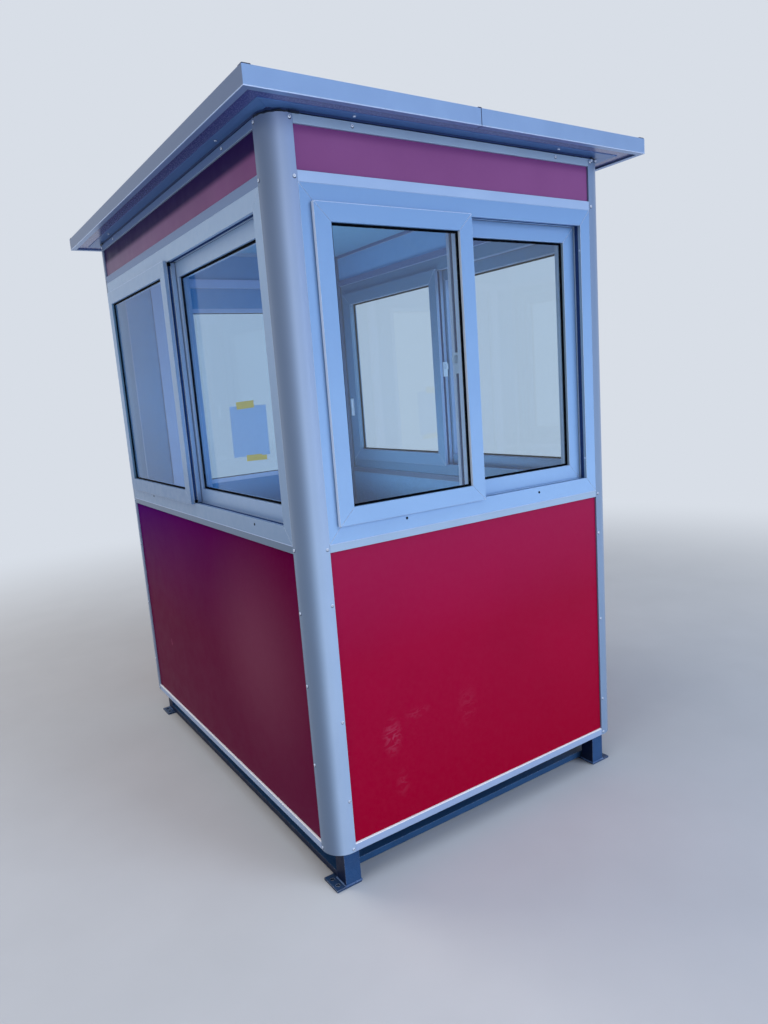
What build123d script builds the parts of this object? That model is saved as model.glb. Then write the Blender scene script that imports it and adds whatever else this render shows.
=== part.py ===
from build123d import *
import os

# Security guard booth on a welded steel base.
# X runs along the short front wall, Y along the long side walls, Z up.
# The front wall faces -Y and the door is in the back wall, at +Y.
# The origin lies on the ground, under the middle of the booth.

# Plan of the cabin
cabin_width = 1372.0
cabin_depth = 1930.0
wall_thickness = 76.0

# Height of each horizontal band of a wall, from the ground up
base_height = 138.0
bottom_rail_height = 25.0
lower_panel_height = 980.0
sill_rail_height = 25.0
window_height = 1046.0
mid_rail_height = 31.0
upper_panel_height = 122.0
top_rail_height = 26.0
reveal_height = 12.0

# Wall build-up, the same from both faces of the wall
panel_setback = 7.0
liner_thickness = 3.0
rail_wall_thickness = 3.0

# Corner posts
post_radius = 72.0
post_flange_width = 8.0
post_wall_thickness = 3.0

# Steel base
leg_width = 60.0
leg_wall_thickness = 5.0
leg_side_inset = 50.0
leg_end_inset = 29.0
plate_thickness = 8.0
plate_tab_width = 36.0
plate_lip = 2.0
plate_length = 90.0
plate_hole_radius = 7.0
plate_hole_spacing = 38.0
plate_hole_inset = 17.5
side_runner_height = 25.0
side_runner_width = 40.0
cross_bar_height = 25.0
cross_bar_width = 40.0
cross_bar_setback = 100.0
base_tube_wall_thickness = 3.0

# Floor
joist_count = 5
joist_width = 40.0
joist_wall_thickness = 3.0
deck_thickness = 18.0

# Sliding windows
window_stile_width = 50.0
window_rail_width = 56.0
window_frame_depth = 65.0
track_depth = 8.0
track_setback = 13.0
sash_face_width = 55.0
sash_thickness = 46.0
sash_projection = 15.0
sash_gap = 3.0
sash_side_lap = 15.0
sash_end_lap = 5.0
sash_overlap = 20.0
sash_clearance = 1.5
sash_groove_width = 13.0
sash_groove_depth = 8.0
sash_groove_setback = 16.0
glass_setback = 12.0
glass_thickness = 6.0

# Window hardware
latch_height = 70.0
latch_width = 24.0
latch_depth = 6.0
latch_setback = 5.0
latch_thumb_height = 26.0
latch_thumb_width = 12.0
latch_thumb_depth = 14.0
pull_height = 100.0
pull_width = 20.0
pull_depth = 12.0
pull_chamfer = 5.0
pull_drop_height = 166.0

# Door in the back wall
door_strip_width = 136.0
door_frame_width = 50.0
door_thickness = 45.0
door_gap = 5.0
door_lock_gap = 7.0
door_stop_width = 12.0
threshold_height = 15.0
door_stile_width = 133.0
door_top_rail_height = 109.0
door_glass_height = 920.0
door_skin_thickness = 3.0
bead_width = 22.0

# Door hinges
hinge_count = 3
knuckle_count = 5
hinge_height = 100.0
hinge_radius = 6.5
hinge_pin_radius = 3.0
hinge_pin_clearance = 0.3
hinge_leaf_width = 32.0
hinge_leaf_thickness = 3.0
hinge_knuckle_gap = 0.5
hinge_end_distance = 180.0

# Door handle
handle_height = 1010.0
handle_edge_distance = 62.0
handle_plate_width = 44.0
handle_plate_height = 170.0
handle_plate_thickness = 6.0
lever_length = 118.0
lever_height = 18.0
lever_thickness = 12.0
lever_stand_depth = 48.0
lever_neck_radius = 9.0

# Roof
overhang_width = 104.0
fascia_height = 52.0
fascia_drop_height = 6.0
fascia_thickness = 2.0
fascia_return_width = 22.0
soffit_thickness = 2.0
reveal_setback = 12.0
ceiling_thickness = 10.0
membrane_thickness = 3.0
roof_rise_height = 12.0
roof_ridge_share = 0.5

# Levels that follow from the bands
rail_top = base_height + bottom_rail_height
lower_top = rail_top + lower_panel_height
sill_top = lower_top + sill_rail_height
window_top = sill_top + window_height
mid_top = window_top + mid_rail_height
upper_top = mid_top + upper_panel_height
wall_top = upper_top + top_rail_height
soffit_level = wall_top + reveal_height
fascia_bottom = soffit_level - fascia_drop_height
fascia_top = fascia_bottom + fascia_height
roof_panel_top = fascia_top - membrane_thickness
floor_level = rail_top + deck_thickness
ceiling_level = wall_top - ceiling_thickness

# Offsets that follow from the wall build-up
liner_face = wall_thickness - panel_setback
panel_back = liner_face - liner_thickness
post_side = wall_thickness
post_reach = post_side + post_flange_width
leg_side_far = leg_side_inset + leg_width
leg_end_far = leg_end_inset + leg_width
outer_sash_face = -sash_projection
inner_sash_face = outer_sash_face + sash_thickness + sash_gap
door_opening = cabin_width - 2 * (post_side + door_strip_width + door_frame_width)

MIN3 = (Align.MIN, Align.MIN, Align.MIN)
STANDING = (Align.CENTER, Align.CENTER, Align.MIN)
SIDES = ("front", "right", "back", "left")
SIDE_LENGTH = {"front": cabin_width, "right": cabin_depth, "back": cabin_width, "left": cabin_depth}
SIDE_PLACE = {
    "front": Pos(-cabin_width / 2, -cabin_depth / 2, 0),
    "right": Pos(cabin_width / 2, -cabin_depth / 2, 0) * Rot(0, 0, 90),
    "back": Pos(cabin_width / 2, cabin_depth / 2, 0) * Rot(0, 0, 180),
    "left": Pos(-cabin_width / 2, cabin_depth / 2, 0) * Rot(0, 0, -90),
}
CORNERS = [(sx, sy) for sx in (-1, 1) for sy in (-1, 1)]
FRAME_KNUCKLES = ((0, 2), (3, 5))
DOOR_KNUCKLES = ((2, 3),)


def block(u0, u1, d0, d1, z0, z1):
    """A box on a wall: u along it from its left end seen from outside, d inward, z up."""
    return Pos(u0, d0, z0) * Box(u1 - u0, d1 - d0, z1 - z0, align=MIN3)


def on_side(side, solid):
    """Carries a solid from a wall's own u, d, z to its place in the booth."""
    return SIDE_PLACE[side] * solid


def tube(u0, u1, d0, d1, z0, z1, wall):
    """A rectangular tube along u, open at both ends."""
    return block(u0, u1, d0, d1, z0, z1) - block(u0, u1, d0 + wall, d1 - wall, z0 + wall, z1 - wall)


def window_ring(u0, u1, z0, z1, stile, rail_face, d0, d1):
    """A rectangular ring with upright and level members of the given face widths."""
    outer = block(u0, u1, d0, d1, z0, z1)
    return outer - block(u0 + stile, u1 - stile, d0, d1, z0 + rail_face, z1 - rail_face)


def at_corner(sx, sy, solid):
    """Mirrors what was made at the low-X, low-Y corner of the plan to another corner."""
    if sx > 0:
        solid = mirror(solid, Plane.YZ)
    if sy > 0:
        solid = mirror(solid, Plane.XZ)
    return solid


def from_corner(x0, x1, y0, y1, z0, z1):
    """A box set out from the front left corner of the cabin."""
    return Pos(-cabin_width / 2 + x0, -cabin_depth / 2 + y0, z0) * Box(x1 - x0, y1 - y0, z1 - z0, align=MIN3)


# Steel base: four legs on drilled plates, runners along the sides and a bar behind each pair of legs
def leg():
    solid = from_corner(
        leg_side_inset, leg_side_far, leg_end_inset, leg_end_far,
        plate_thickness, base_height,
    )
    bore = from_corner(
        leg_side_inset + leg_wall_thickness, leg_side_far - leg_wall_thickness,
        leg_end_inset + leg_wall_thickness, leg_end_far - leg_wall_thickness,
        plate_thickness, base_height,
    )
    return solid - bore


def foot_plate():
    outer_edge = leg_side_inset - plate_tab_width
    y0 = leg_end_inset - plate_lip
    middle = y0 + plate_length / 2
    plate = from_corner(outer_edge, leg_side_far, y0, y0 + plate_length, 0, plate_thickness)
    for way in (-1, 1):
        hole_x = -cabin_width / 2 + outer_edge + plate_hole_inset
        hole_y = -cabin_depth / 2 + middle + way * plate_hole_spacing / 2
        plate -= Pos(hole_x, hole_y, plate_thickness / 2) * Cylinder(plate_hole_radius, 2 * plate_thickness)
    return plate


def side_runner(side):
    """A tube between the legs of a long side, flush with their outer faces."""
    length = SIDE_LENGTH[side]
    return on_side(side, tube(
        leg_end_far, length - leg_end_far,
        leg_side_inset, leg_side_inset + side_runner_width,
        plate_thickness, plate_thickness + side_runner_height,
        base_tube_wall_thickness,
    ))


def cross_bar(side):
    """A flat tube between the two side runners, just behind the legs of a short side."""
    length = SIDE_LENGTH[side]
    end = leg_side_inset + side_runner_width
    return on_side(side, tube(
        end, length - end,
        cross_bar_setback, cross_bar_setback + cross_bar_width,
        plate_thickness, plate_thickness + cross_bar_height,
        base_tube_wall_thickness,
    ))


# Floor: tubes across the booth with a deck on top
def joist(index):
    span = cabin_depth - 2 * wall_thickness - joist_width
    y0 = wall_thickness + span * index / (joist_count - 1)
    y1 = y0 + joist_width
    x0 = wall_thickness
    x1 = cabin_width - wall_thickness
    outer = from_corner(x0, x1, y0, y1, base_height, rail_top)
    bore = from_corner(
        x0, x1, y0 + joist_wall_thickness, y1 - joist_wall_thickness,
        base_height + joist_wall_thickness, rail_top - joist_wall_thickness,
    )
    return outer - bore


def floor_deck():
    return from_corner(
        wall_thickness, cabin_width - wall_thickness,
        wall_thickness, cabin_depth - wall_thickness,
        rail_top, floor_level,
    )


# Corner post: a hollow section with a quarter-round nose and hooked flanges over both faces of each wall
def post_flanges():
    """Plan boxes x0, x1, y0, y1 of the flanges along X and of their hooks."""
    inner = wall_thickness - post_wall_thickness
    hook = post_reach - post_wall_thickness
    return (
        (post_radius, post_reach, 0, post_wall_thickness),
        (hook, post_reach, 0, panel_setback),
        (post_side, post_reach, inner, wall_thickness),
        (hook, post_reach, liner_face, wall_thickness),
    )


def post_section():
    corner = (Align.MIN, Align.MIN)
    nose = Rectangle(post_side, post_side, align=corner)
    nose = fillet(nose.vertices().sort_by_distance((0, 0))[0], post_radius)
    hollow_side = post_side - 2 * post_wall_thickness
    hollow = Rectangle(hollow_side, hollow_side, align=corner)
    hollow = fillet(hollow.vertices().sort_by_distance((0, 0))[0], post_radius - post_wall_thickness)
    section = nose - Pos(post_wall_thickness, post_wall_thickness) * hollow
    for x0, x1, y0, y1 in post_flanges():
        section += Pos(x0, y0) * Rectangle(x1 - x0, y1 - y0, align=corner)
        section += Pos(y0, x0) * Rectangle(y1 - y0, x1 - x0, align=corner)
    return section


def corner_post():
    post = extrude(post_section(), wall_top - base_height)
    return Pos(-cabin_width / 2, -cabin_depth / 2, base_height) * post


# Rails: rectangular tubes between the flanges of the posts
def rail(side, z0, z1, u0=None, u1=None):
    start = post_reach if u0 is None else u0
    end = SIDE_LENGTH[side] - post_reach if u1 is None else u1
    return on_side(side, tube(start, end, 0, wall_thickness, z0, z1, rail_wall_thickness))


def panel(side, z0, z1, u0=None, u1=None):
    """An insulated wall panel, its face set back from the rails."""
    start = post_side if u0 is None else u0
    end = SIDE_LENGTH[side] - post_side if u1 is None else u1
    return on_side(side, block(start, end, panel_setback, panel_back, z0, z1))


# Sliding window: frame, outer sash on the left and inner sash on the right, seen from outside
def window_span(side):
    return post_reach, SIDE_LENGTH[side] - post_reach


def window_opening(side):
    """The clear opening inside the frame: u0, u1, z0, z1."""
    u0, u1 = window_span(side)
    h0 = sill_top + window_rail_width
    h1 = window_top - window_rail_width
    return u0 + window_stile_width, u1 - window_stile_width, h0, h1


def window_frame(side):
    u0, u1 = window_span(side)
    w0, w1, h0, h1 = window_opening(side)
    ring = window_ring(
        u0, u1, sill_top, window_top, window_stile_width, window_rail_width, 0, window_frame_depth)
    track_end = inner_sash_face - sash_gap
    track = block(w0 - track_depth, w1 + track_depth, track_setback, track_end, h0, h1)
    return on_side(side, ring - track)


def sash_span(side, which):
    """Ends of a sash's body along its wall."""
    w0, w1, _, _ = window_opening(side)
    middle = (w0 + w1) / 2
    if which == "outer":
        return w0 + sash_clearance, middle + sash_overlap
    return middle - sash_overlap, w1 - sash_clearance


def sash_face_box(side, which):
    """The face of a sash: it laps over the frame everywhere but at the meeting stiles."""
    w0, w1, h0, h1 = window_opening(side)
    u0, u1 = sash_span(side, which)
    if which == "outer":
        u0 = w0 - sash_side_lap
    else:
        u1 = w1 + sash_side_lap
    return u0, u1, h0 - sash_end_lap, h1 + sash_end_lap


def sash_glass_box(side, which):
    """The glass opening of a sash, a face width inside what shows from outside: u0, u1, z0, z1."""
    if which == "outer":
        u0, u1, z0, z1 = sash_face_box(side, which)
    else:
        u0, u1 = sash_span(side, which)
        _, _, z0, h1 = window_opening(side)
        z1 = h1 - sash_clearance
    return u0 + sash_face_width, u1 - sash_face_width, z0 + sash_face_width, z1 - sash_face_width


def sash(side, which):
    """A sash that rests on the frame, its lip over the frame's face, with a brush groove at its end."""
    _, _, h0, h1 = window_opening(side)
    u0, u1 = sash_span(side, which)
    g0, g1, k0, k1 = sash_glass_box(side, which)
    f0, f1, y0, y1 = sash_face_box(side, which)
    lip = sash_projection - sash_clearance
    if which == "outer":
        d0 = outer_sash_face
        face_d0 = d0
        groove_d0 = d0 + sash_groove_setback
        groove_u0 = u1 - sash_groove_depth
    else:
        d0 = inner_sash_face
        face_d0 = d0 + sash_thickness - lip
        groove_d0 = d0 + sash_thickness - sash_groove_setback - sash_groove_width
        groove_u0 = u0
    body = block(u0, u1, d0, d0 + sash_thickness, h0, h1 - sash_clearance)
    body += block(f0, f1, face_d0, face_d0 + lip, y0, y1)
    body -= block(g0, g1, d0, d0 + sash_thickness, k0, k1)
    body -= block(groove_u0, groove_u0 + sash_groove_depth, groove_d0, groove_d0 + sash_groove_width, y0, y1)
    return on_side(side, body)


def sash_glass(side, which):
    g0, g1, k0, k1 = sash_glass_box(side, which)
    if which == "outer":
        d0 = outer_sash_face + glass_setback
    else:
        d0 = inner_sash_face + glass_setback
    return on_side(side, block(g0, g1, d0, d0 + glass_thickness, k0, k1))


def window_latch(side):
    """A cam latch on the end of the inner sash's meeting stile: plate and thumb piece."""
    u0, _ = sash_span(side, "inner")
    middle = (sill_top + window_top) / 2
    d0 = inner_sash_face + latch_setback
    d1 = d0 + latch_width
    d_thumb = (d0 + d1 - latch_thumb_width) / 2
    plate = block(u0 - latch_depth, u0, d0, d1, middle - latch_height / 2, middle + latch_height / 2)
    thumb = block(
        u0 - latch_depth - latch_thumb_depth, u0 - latch_depth,
        d_thumb, d_thumb + latch_thumb_width,
        middle, middle + latch_thumb_height,
    )
    return on_side(side, plate + thumb)


def sash_pull(side):
    """A rounded finger pull on the room face of the inner sash's outer stile."""
    _, u1, _, _ = sash_face_box(side, "inner")
    middle = u1 - sash_face_width / 2
    z1 = (sill_top + window_top) / 2 - pull_drop_height + pull_height / 2
    d0 = inner_sash_face + sash_thickness
    grip = block(middle - pull_width / 2, middle + pull_width / 2, d0, d0 + pull_depth, z1 - pull_height, z1)
    room_edges = grip.faces().sort_by(Axis.Y)[-1].edges()
    return on_side(side, chamfer(room_edges, pull_chamfer))


# Inner lining of each wall, between the rails
def liner(side):
    length = SIDE_LENGTH[side]
    bands = [(wall_thickness, length - wall_thickness, rail_top, lower_top)]
    if side == "back":
        levels = ((rail_top, lower_top), (sill_top, window_top))
        bands = [(a, b, z0, z1) for a, b in PANEL_STRIPS for z0, z1 in levels]
    bands.append((wall_thickness, length - wall_thickness, mid_top, upper_top))
    return [on_side(side, block(a, b, panel_back, liner_face, z0, z1)) for a, b, z0, z1 in bands]


# Door, in the back wall's own u and d
def door_start():
    return (cabin_width - door_opening) / 2


def door_jamb(mirrored):
    """A jamb with its stop: the left one, seen from outside, or its mirror image."""
    u0 = door_start()
    stop_d = door_thickness + door_gap
    jamb = block(u0 - door_frame_width, u0, 0, wall_thickness, rail_top, window_top)
    jamb += block(u0, u0 + door_stop_width, stop_d, wall_thickness, rail_top + threshold_height, window_top)
    if mirrored:
        jamb = mirror(jamb, Plane.YZ.offset(cabin_width / 2))
    return on_side("back", jamb)


def door_head():
    """The head over both jambs, with its stop between theirs."""
    u0 = door_start()
    u1 = cabin_width - u0
    stop_d = door_thickness + door_gap
    stop_z = window_top - door_stop_width
    head = block(u0 - door_frame_width, u1 + door_frame_width, 0, wall_thickness, window_top, mid_top)
    head += block(u0 + door_stop_width, u1 - door_stop_width, stop_d, wall_thickness, stop_z, window_top)
    return on_side("back", head)


def threshold():
    u0 = door_start()
    z1 = rail_top + threshold_height
    return on_side("back", block(u0, cabin_width - u0, 0, wall_thickness, rail_top, z1))


def leaf_box():
    u0 = door_start() + door_gap
    u1 = cabin_width - door_start() - door_lock_gap
    z0 = rail_top + threshold_height + door_gap
    z1 = window_top - door_gap
    return u0, u1, z0, z1


def leaf_window():
    u0, u1, _, z1 = leaf_box()
    z_top = z1 - door_top_rail_height
    return u0 + door_stile_width, u1 - door_stile_width, z_top - door_glass_height, z_top


def door_leaf():
    u0, u1, z0, z1 = leaf_box()
    g0, g1, h0, h1 = leaf_window()
    leaf = block(u0, u1, 0, door_thickness - door_skin_thickness, z0, z1)
    return on_side("back", leaf - block(g0, g1, 0, door_thickness, h0, h1))


def door_inner_skin():
    u0, u1, z0, z1 = leaf_box()
    g0, g1, h0, h1 = leaf_window()
    skin = block(u0, u1, door_thickness - door_skin_thickness, door_thickness, z0, z1)
    return on_side("back", skin - block(g0, g1, 0, door_thickness, h0, h1))


def door_glass():
    g0, g1, h0, h1 = leaf_window()
    middle = door_thickness / 2
    return on_side("back", block(
        g0, g1, middle - glass_thickness / 2, middle + glass_thickness / 2, h0, h1))


def door_bead(d0, d1):
    """A glazing bead inside the leaf's opening, on one side of the glass."""
    g0, g1, h0, h1 = leaf_window()
    return on_side("back", window_ring(g0, g1, h0, h1, bead_width, bead_width, d0, d1))


def hinge_levels():
    _, _, z0, z1 = leaf_box()
    first = z0 + hinge_end_distance
    last = z1 - hinge_end_distance - hinge_height
    return [first + (last - first) * i / (hinge_count - 1) for i in range(hinge_count)]


def hinge_axis():
    """u and d of the hinge line: in the middle of the gap, a barrel's radius outside the wall."""
    return door_start() + door_gap / 2, -hinge_radius


def knuckle_levels(level, first, last):
    """Bottom and top of a knuckle that spans the given shares of the barrel."""
    share = hinge_height / knuckle_count
    return level + first * share + (hinge_knuckle_gap if first else 0), level + last * share


def barrel(radius, z0, z1):
    """A cylinder on the hinge line."""
    axis_u, axis_d = hinge_axis()
    return Pos(axis_u, axis_d, z0) * Cylinder(radius, z1 - z0, align=STANDING)


def hinge_leaf(way, near, z0, z1):
    """A flat leaf from near to its outer edge: way -1 on the jamb, 1 on the door."""
    far = hinge_axis()[0] + way * hinge_leaf_width
    return block(min(near, far), max(near, far), -hinge_leaf_thickness, 0, z0, z1)


def hinge_body(level, way, spans):
    """A leaf, cut clear of the barrel, with a knuckle at each span."""
    axis_u, _ = hinge_axis()
    top = level + hinge_height
    body = hinge_leaf(way, axis_u + way * door_gap / 2, level, top)
    body -= barrel(hinge_radius + hinge_pin_clearance, level, top)
    for first, last in spans:
        z0, z1 = knuckle_levels(level, first, last)
        body += hinge_leaf(way, axis_u, z0, z1)
        body += barrel(hinge_radius, z0, z1)
    return body


def frame_hinge(level):
    """The jamb's half, with the pin."""
    pin = barrel(hinge_pin_radius, level, level + hinge_height)
    return on_side("back", hinge_body(level, -1, FRAME_KNUCKLES) + pin)


def door_hinge(level):
    """The door's half, bored for the pin."""
    bore = barrel(hinge_pin_radius + hinge_pin_clearance, level, level + hinge_height)
    return on_side("back", hinge_body(level, 1, DOOR_KNUCKLES) - bore)


def door_handle():
    """A plate and a flat lever with round ends on each face of the leaf."""
    _, u1, _, _ = leaf_box()
    u = u1 - handle_edge_distance
    parts = []
    for d_face, way in ((0, -1), (door_thickness, 1)):
        d_plate = d_face + way * handle_plate_thickness
        plate = block(
            u - handle_plate_width / 2, u + handle_plate_width / 2,
            min(d_face, d_plate), max(d_face, d_plate),
            handle_height - handle_plate_height / 2, handle_height + handle_plate_height / 2,
        )
        plate = fillet(plate.edges().filter_by(Axis.Y), handle_plate_width / 4)
        d_lever = d_face + way * lever_stand_depth
        neck = Pos(u, (d_face + d_lever) / 2, handle_height) * Rot(90, 0, 0) * Cylinder(
            lever_neck_radius, lever_stand_depth)
        outline = SlotCenterToCenter(lever_length - lever_height, lever_height)
        lever = extrude(outline, lever_thickness / 2, both=True)
        lever = Pos(u - (lever_length - lever_height) / 2, d_lever, handle_height) * Rot(90, 0, 0) * lever
        parts.append(on_side("back", plate + neck + lever))
    return parts


# Roof: a shadow gap over the wall, soffit, ceiling, insulated panel, fascia and membrane
def ring_plan(outset0, outset1, z0, z1):
    """A rectangular ring round the booth, from outset0 outside the wall face to outset1, inward negative."""
    outer = Pos(0, 0, z0) * Box(cabin_width + 2 * outset0, cabin_depth + 2 * outset0, z1 - z0, align=STANDING)
    inner = Pos(0, 0, z0) * Box(cabin_width + 2 * outset1, cabin_depth + 2 * outset1, z1 - z0, align=STANDING)
    return outer - inner


def reveal_ring():
    """The dark band of the shadow gap, round at the corners like the posts below it."""
    wide = cabin_width - 2 * reveal_setback
    long = cabin_depth - 2 * reveal_setback
    ring = RectangleRounded(wide, long, post_radius - reveal_setback)
    ring -= Rectangle(cabin_width - 2 * wall_thickness, cabin_depth - 2 * wall_thickness)
    return Pos(0, 0, wall_top) * extrude(ring, reveal_height)


def fascia():
    inner_face = overhang_width - fascia_thickness
    ring = ring_plan(overhang_width, inner_face, fascia_bottom, fascia_top)
    lip = ring_plan(
        inner_face, overhang_width - fascia_return_width, fascia_bottom, fascia_bottom + fascia_thickness)
    return ring + lip


def roof_plate(z0, z1):
    reach = 2 * (overhang_width - fascia_thickness)
    return Pos(0, 0, z0) * Box(cabin_width + reach, cabin_depth + reach, z1 - z0, align=STANDING)


def roof_membrane():
    """The membrane inside the fascia's top edge, raised to a short ridge along the middle."""
    wide = cabin_width + 2 * (overhang_width - fascia_thickness)
    long = cabin_depth + 2 * (overhang_width - fascia_thickness)
    ridge = long * roof_ridge_share
    edge = Pos(0, 0, roof_panel_top) * Box(wide, long, membrane_thickness, align=STANDING)
    low = Plane.XY.offset(fascia_top) * Rectangle(wide, long)
    high = Plane.XY.offset(fascia_top + roof_rise_height) * Rectangle(wide - long + ridge, ridge)
    return edge + loft([low, high], ruled=True)


def ceiling():
    return from_corner(
        wall_thickness, cabin_width - wall_thickness,
        wall_thickness, cabin_depth - wall_thickness,
        ceiling_level, wall_top,
    )


WINDOW_SIDES = ("front", "left", "right")
strip_end = door_start() - door_frame_width
BACK_STRIPS = ((post_reach, strip_end), (cabin_width - strip_end, cabin_width - post_reach))
PANEL_STRIPS = ((post_side, strip_end), (cabin_width - strip_end, cabin_width - post_side))

nodes = {
    "legs": [at_corner(sx, sy, leg()) for sx, sy in CORNERS],
    "foot_plates": [at_corner(sx, sy, foot_plate()) for sx, sy in CORNERS],
    "base_ring": [side_runner("left") + side_runner("right") + cross_bar("front") + cross_bar("back")],
    "floor_joists": [joist(i) for i in range(joist_count)],
    "floor_deck": [floor_deck()],
    "corner_posts": [at_corner(sx, sy, corner_post()) for sx, sy in CORNERS],
    "bottom_rails": [rail(side, base_height, rail_top) for side in SIDES],
    "sill_rails": [rail(side, lower_top, sill_top) for side in WINDOW_SIDES]
    + [rail("back", lower_top, sill_top, a, b) for a, b in BACK_STRIPS],
    "mid_rails": [rail(side, window_top, mid_top) for side in WINDOW_SIDES]
    + [rail("back", window_top, mid_top, a, b) for a, b in BACK_STRIPS],
    "top_rails": [rail(side, upper_top, wall_top) for side in SIDES],
    "upper_panels": [panel(side, mid_top, upper_top) for side in SIDES],
    "back_side_panels": [panel("back", rail_top, lower_top, a, b) for a, b in PANEL_STRIPS]
    + [panel("back", sill_top, window_top, a, b) for a, b in PANEL_STRIPS],
    "liner_back": liner("back"),
    "door_jambs": [door_jamb(False), door_jamb(True)],
    "door_head": [door_head()],
    "door_threshold": [threshold()],
    "door_leaf": [door_leaf()],
    "door_inner_skin": [door_inner_skin()],
    "door_glass": [door_glass()],
    "door_handle": door_handle(),
    "frame_hinges": [frame_hinge(level) for level in hinge_levels()],
    "door_hinges": [door_hinge(level) for level in hinge_levels()],
    "ceiling": [ceiling()],
    "reveal_ring": [reveal_ring()],
    "soffit": [roof_plate(soffit_level, soffit_level + soffit_thickness)],
    "roof_panel": [roof_plate(soffit_level + soffit_thickness, roof_panel_top)],
    "fascia": [fascia()],
    "roof_membrane": [roof_membrane()],
}
bead_depth = (door_thickness - glass_thickness) / 2
nodes["door_beads"] = [door_bead(0, bead_depth), door_bead(door_thickness - bead_depth, door_thickness)]
for side in WINDOW_SIDES:
    nodes["lower_panel_" + side] = [panel(side, rail_top, lower_top)]
    nodes["liner_" + side] = liner(side)
    nodes["window_frame_" + side] = [window_frame(side)]
    nodes["sashes_" + side] = [sash(side, "outer"), sash(side, "inner")]
    nodes["window_glass_" + side] = [sash_glass(side, "outer"), sash_glass(side, "inner")]
nodes["window_latches"] = [make(side) for make in (window_latch, sash_pull) for side in WINDOW_SIDES]

os.makedirs("parts", exist_ok=True)
for name, solids in nodes.items():
    export_step(Compound(children=solids) if len(solids) > 1 else solids[0], f"parts/{name}.step")
    print(name, len(solids))
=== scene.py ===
# %% [markdown]
# # A security guard booth
# A small cabin of coated sheet panels between silver posts and rails, with sliding windows on three
# sides, a door at the back, a flat overhanging roof and a welded steel base. The solid model gives
# every size. Here the booth gets its finishes and the small parts that the solids leave out.

# %% The solid model
import math
import random

import bmesh
import bpy
from mathutils import Matrix, Vector, noise


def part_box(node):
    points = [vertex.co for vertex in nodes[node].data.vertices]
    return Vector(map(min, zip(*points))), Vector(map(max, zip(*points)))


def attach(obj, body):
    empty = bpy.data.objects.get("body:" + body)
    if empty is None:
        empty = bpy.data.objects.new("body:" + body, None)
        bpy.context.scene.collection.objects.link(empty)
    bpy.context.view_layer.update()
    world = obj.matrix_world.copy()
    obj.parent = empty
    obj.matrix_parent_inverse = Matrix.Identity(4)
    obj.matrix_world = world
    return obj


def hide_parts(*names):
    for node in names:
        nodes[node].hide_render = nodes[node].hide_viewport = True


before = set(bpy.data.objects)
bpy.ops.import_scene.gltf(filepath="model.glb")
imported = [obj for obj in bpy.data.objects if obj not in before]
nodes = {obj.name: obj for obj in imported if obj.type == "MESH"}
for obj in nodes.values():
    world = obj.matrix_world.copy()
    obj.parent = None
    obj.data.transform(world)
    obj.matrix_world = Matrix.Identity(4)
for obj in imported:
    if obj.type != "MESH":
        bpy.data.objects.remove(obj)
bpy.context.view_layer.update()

scene = bpy.context.scene

# %% [markdown]
# ## Sizes
# All shapes below are worked out in millimetres and made metres in one step at the end. What can be
# read from the solid model is read from it. The window sections are repeated from the joiner's sizes,
# because a box round two sashes doesn't tell them apart.

# %% Sizes read from the solids
MM = 0.001


def low(node, axis):
    """A node's lowest coordinate in millimetres."""
    return round(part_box(node)[0][axis] / MM, 2)


def high(node, axis):
    """A node's highest coordinate in millimetres."""
    return round(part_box(node)[1][axis] / MM, 2)


X, Y, Z = 0, 1, 2
WIDTH = high("corner_posts", X) - low("corner_posts", X)
DEPTH = high("corner_posts", Y) - low("corner_posts", Y)
BASE_TOP = low("corner_posts", Z)
RAIL_TOP = high("bottom_rails", Z)
SILL_LOW, SILL_TOP = low("sill_rails", Z), high("sill_rails", Z)
MID_LOW, WALL_TOP = low("mid_rails", Z), high("top_rails", Z)
FASCIA_LOW, FASCIA_TOP = low("fascia", Z), high("fascia", Z)
SOFFIT = low("soffit", Z)
OVERHANG = high("fascia", X) - WIDTH / 2
print(f"cabin {WIDTH:.0f} by {DEPTH:.0f} mm, walls {BASE_TOP:.0f} to {WALL_TOP:.0f} mm up")

# %% Sizes of the sections
WALL = 76.0
POST_REACH = 84.0
NOSE_RADIUS = 72.0
PANEL_SETBACK = 7.0
STILE, RAIL = 50.0, 56.0
FRAME_DEPTH = 65.0
# near edge, far edge and depth of the track in the frame
TRACK = (13.0, 31.0, 8.0)
SASH_FACE = 55.0
SASH_THICKNESS = 46.0
SASH_PROUD = 15.0
SASH_GAP = 3.0
SIDE_LAP, END_LAP = 15.0, 5.0
OVERLAP = 20.0
CLEARANCE = 1.5
GLASS_SETBACK, GLASS_THICKNESS = 12.0, 6.0
BRUSH_SETBACK, BRUSH_WIDTH, BRUSH_DEPTH = 16.0, 13.0, 8.0
OUTER_FACE = -SASH_PROUD
INNER_FACE = OUTER_FACE + SASH_THICKNESS + SASH_GAP
WINDOW_SIDES = ("front", "left", "right")
SIDES = ("front", "right", "back", "left")

# %% [markdown]
# ## Places on a wall
# A wall is easiest to think about from outside: u runs along it from its left end, d goes into it,
# z goes up. One matrix per wall carries those millimetres to the booth's metres.

# %% A matrix for each wall
CORNER_OF = {
    "front": (-WIDTH / 2, -DEPTH / 2, 0),
    "right": (WIDTH / 2, -DEPTH / 2, 90),
    "back": (WIDTH / 2, DEPTH / 2, 180),
    "left": (-WIDTH / 2, DEPTH / 2, -90),
}
LENGTH = {"front": WIDTH, "right": DEPTH, "back": WIDTH, "left": DEPTH}
TO_METRES = Matrix.Scale(MM, 4)


def on_wall(side):
    """From a wall's own u, d, z in millimetres to the booth in metres."""
    x, y, turn = CORNER_OF[side]
    return TO_METRES @ Matrix.Translation((x, y, 0)) @ Matrix.Rotation(math.radians(turn), 4, "Z")


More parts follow.
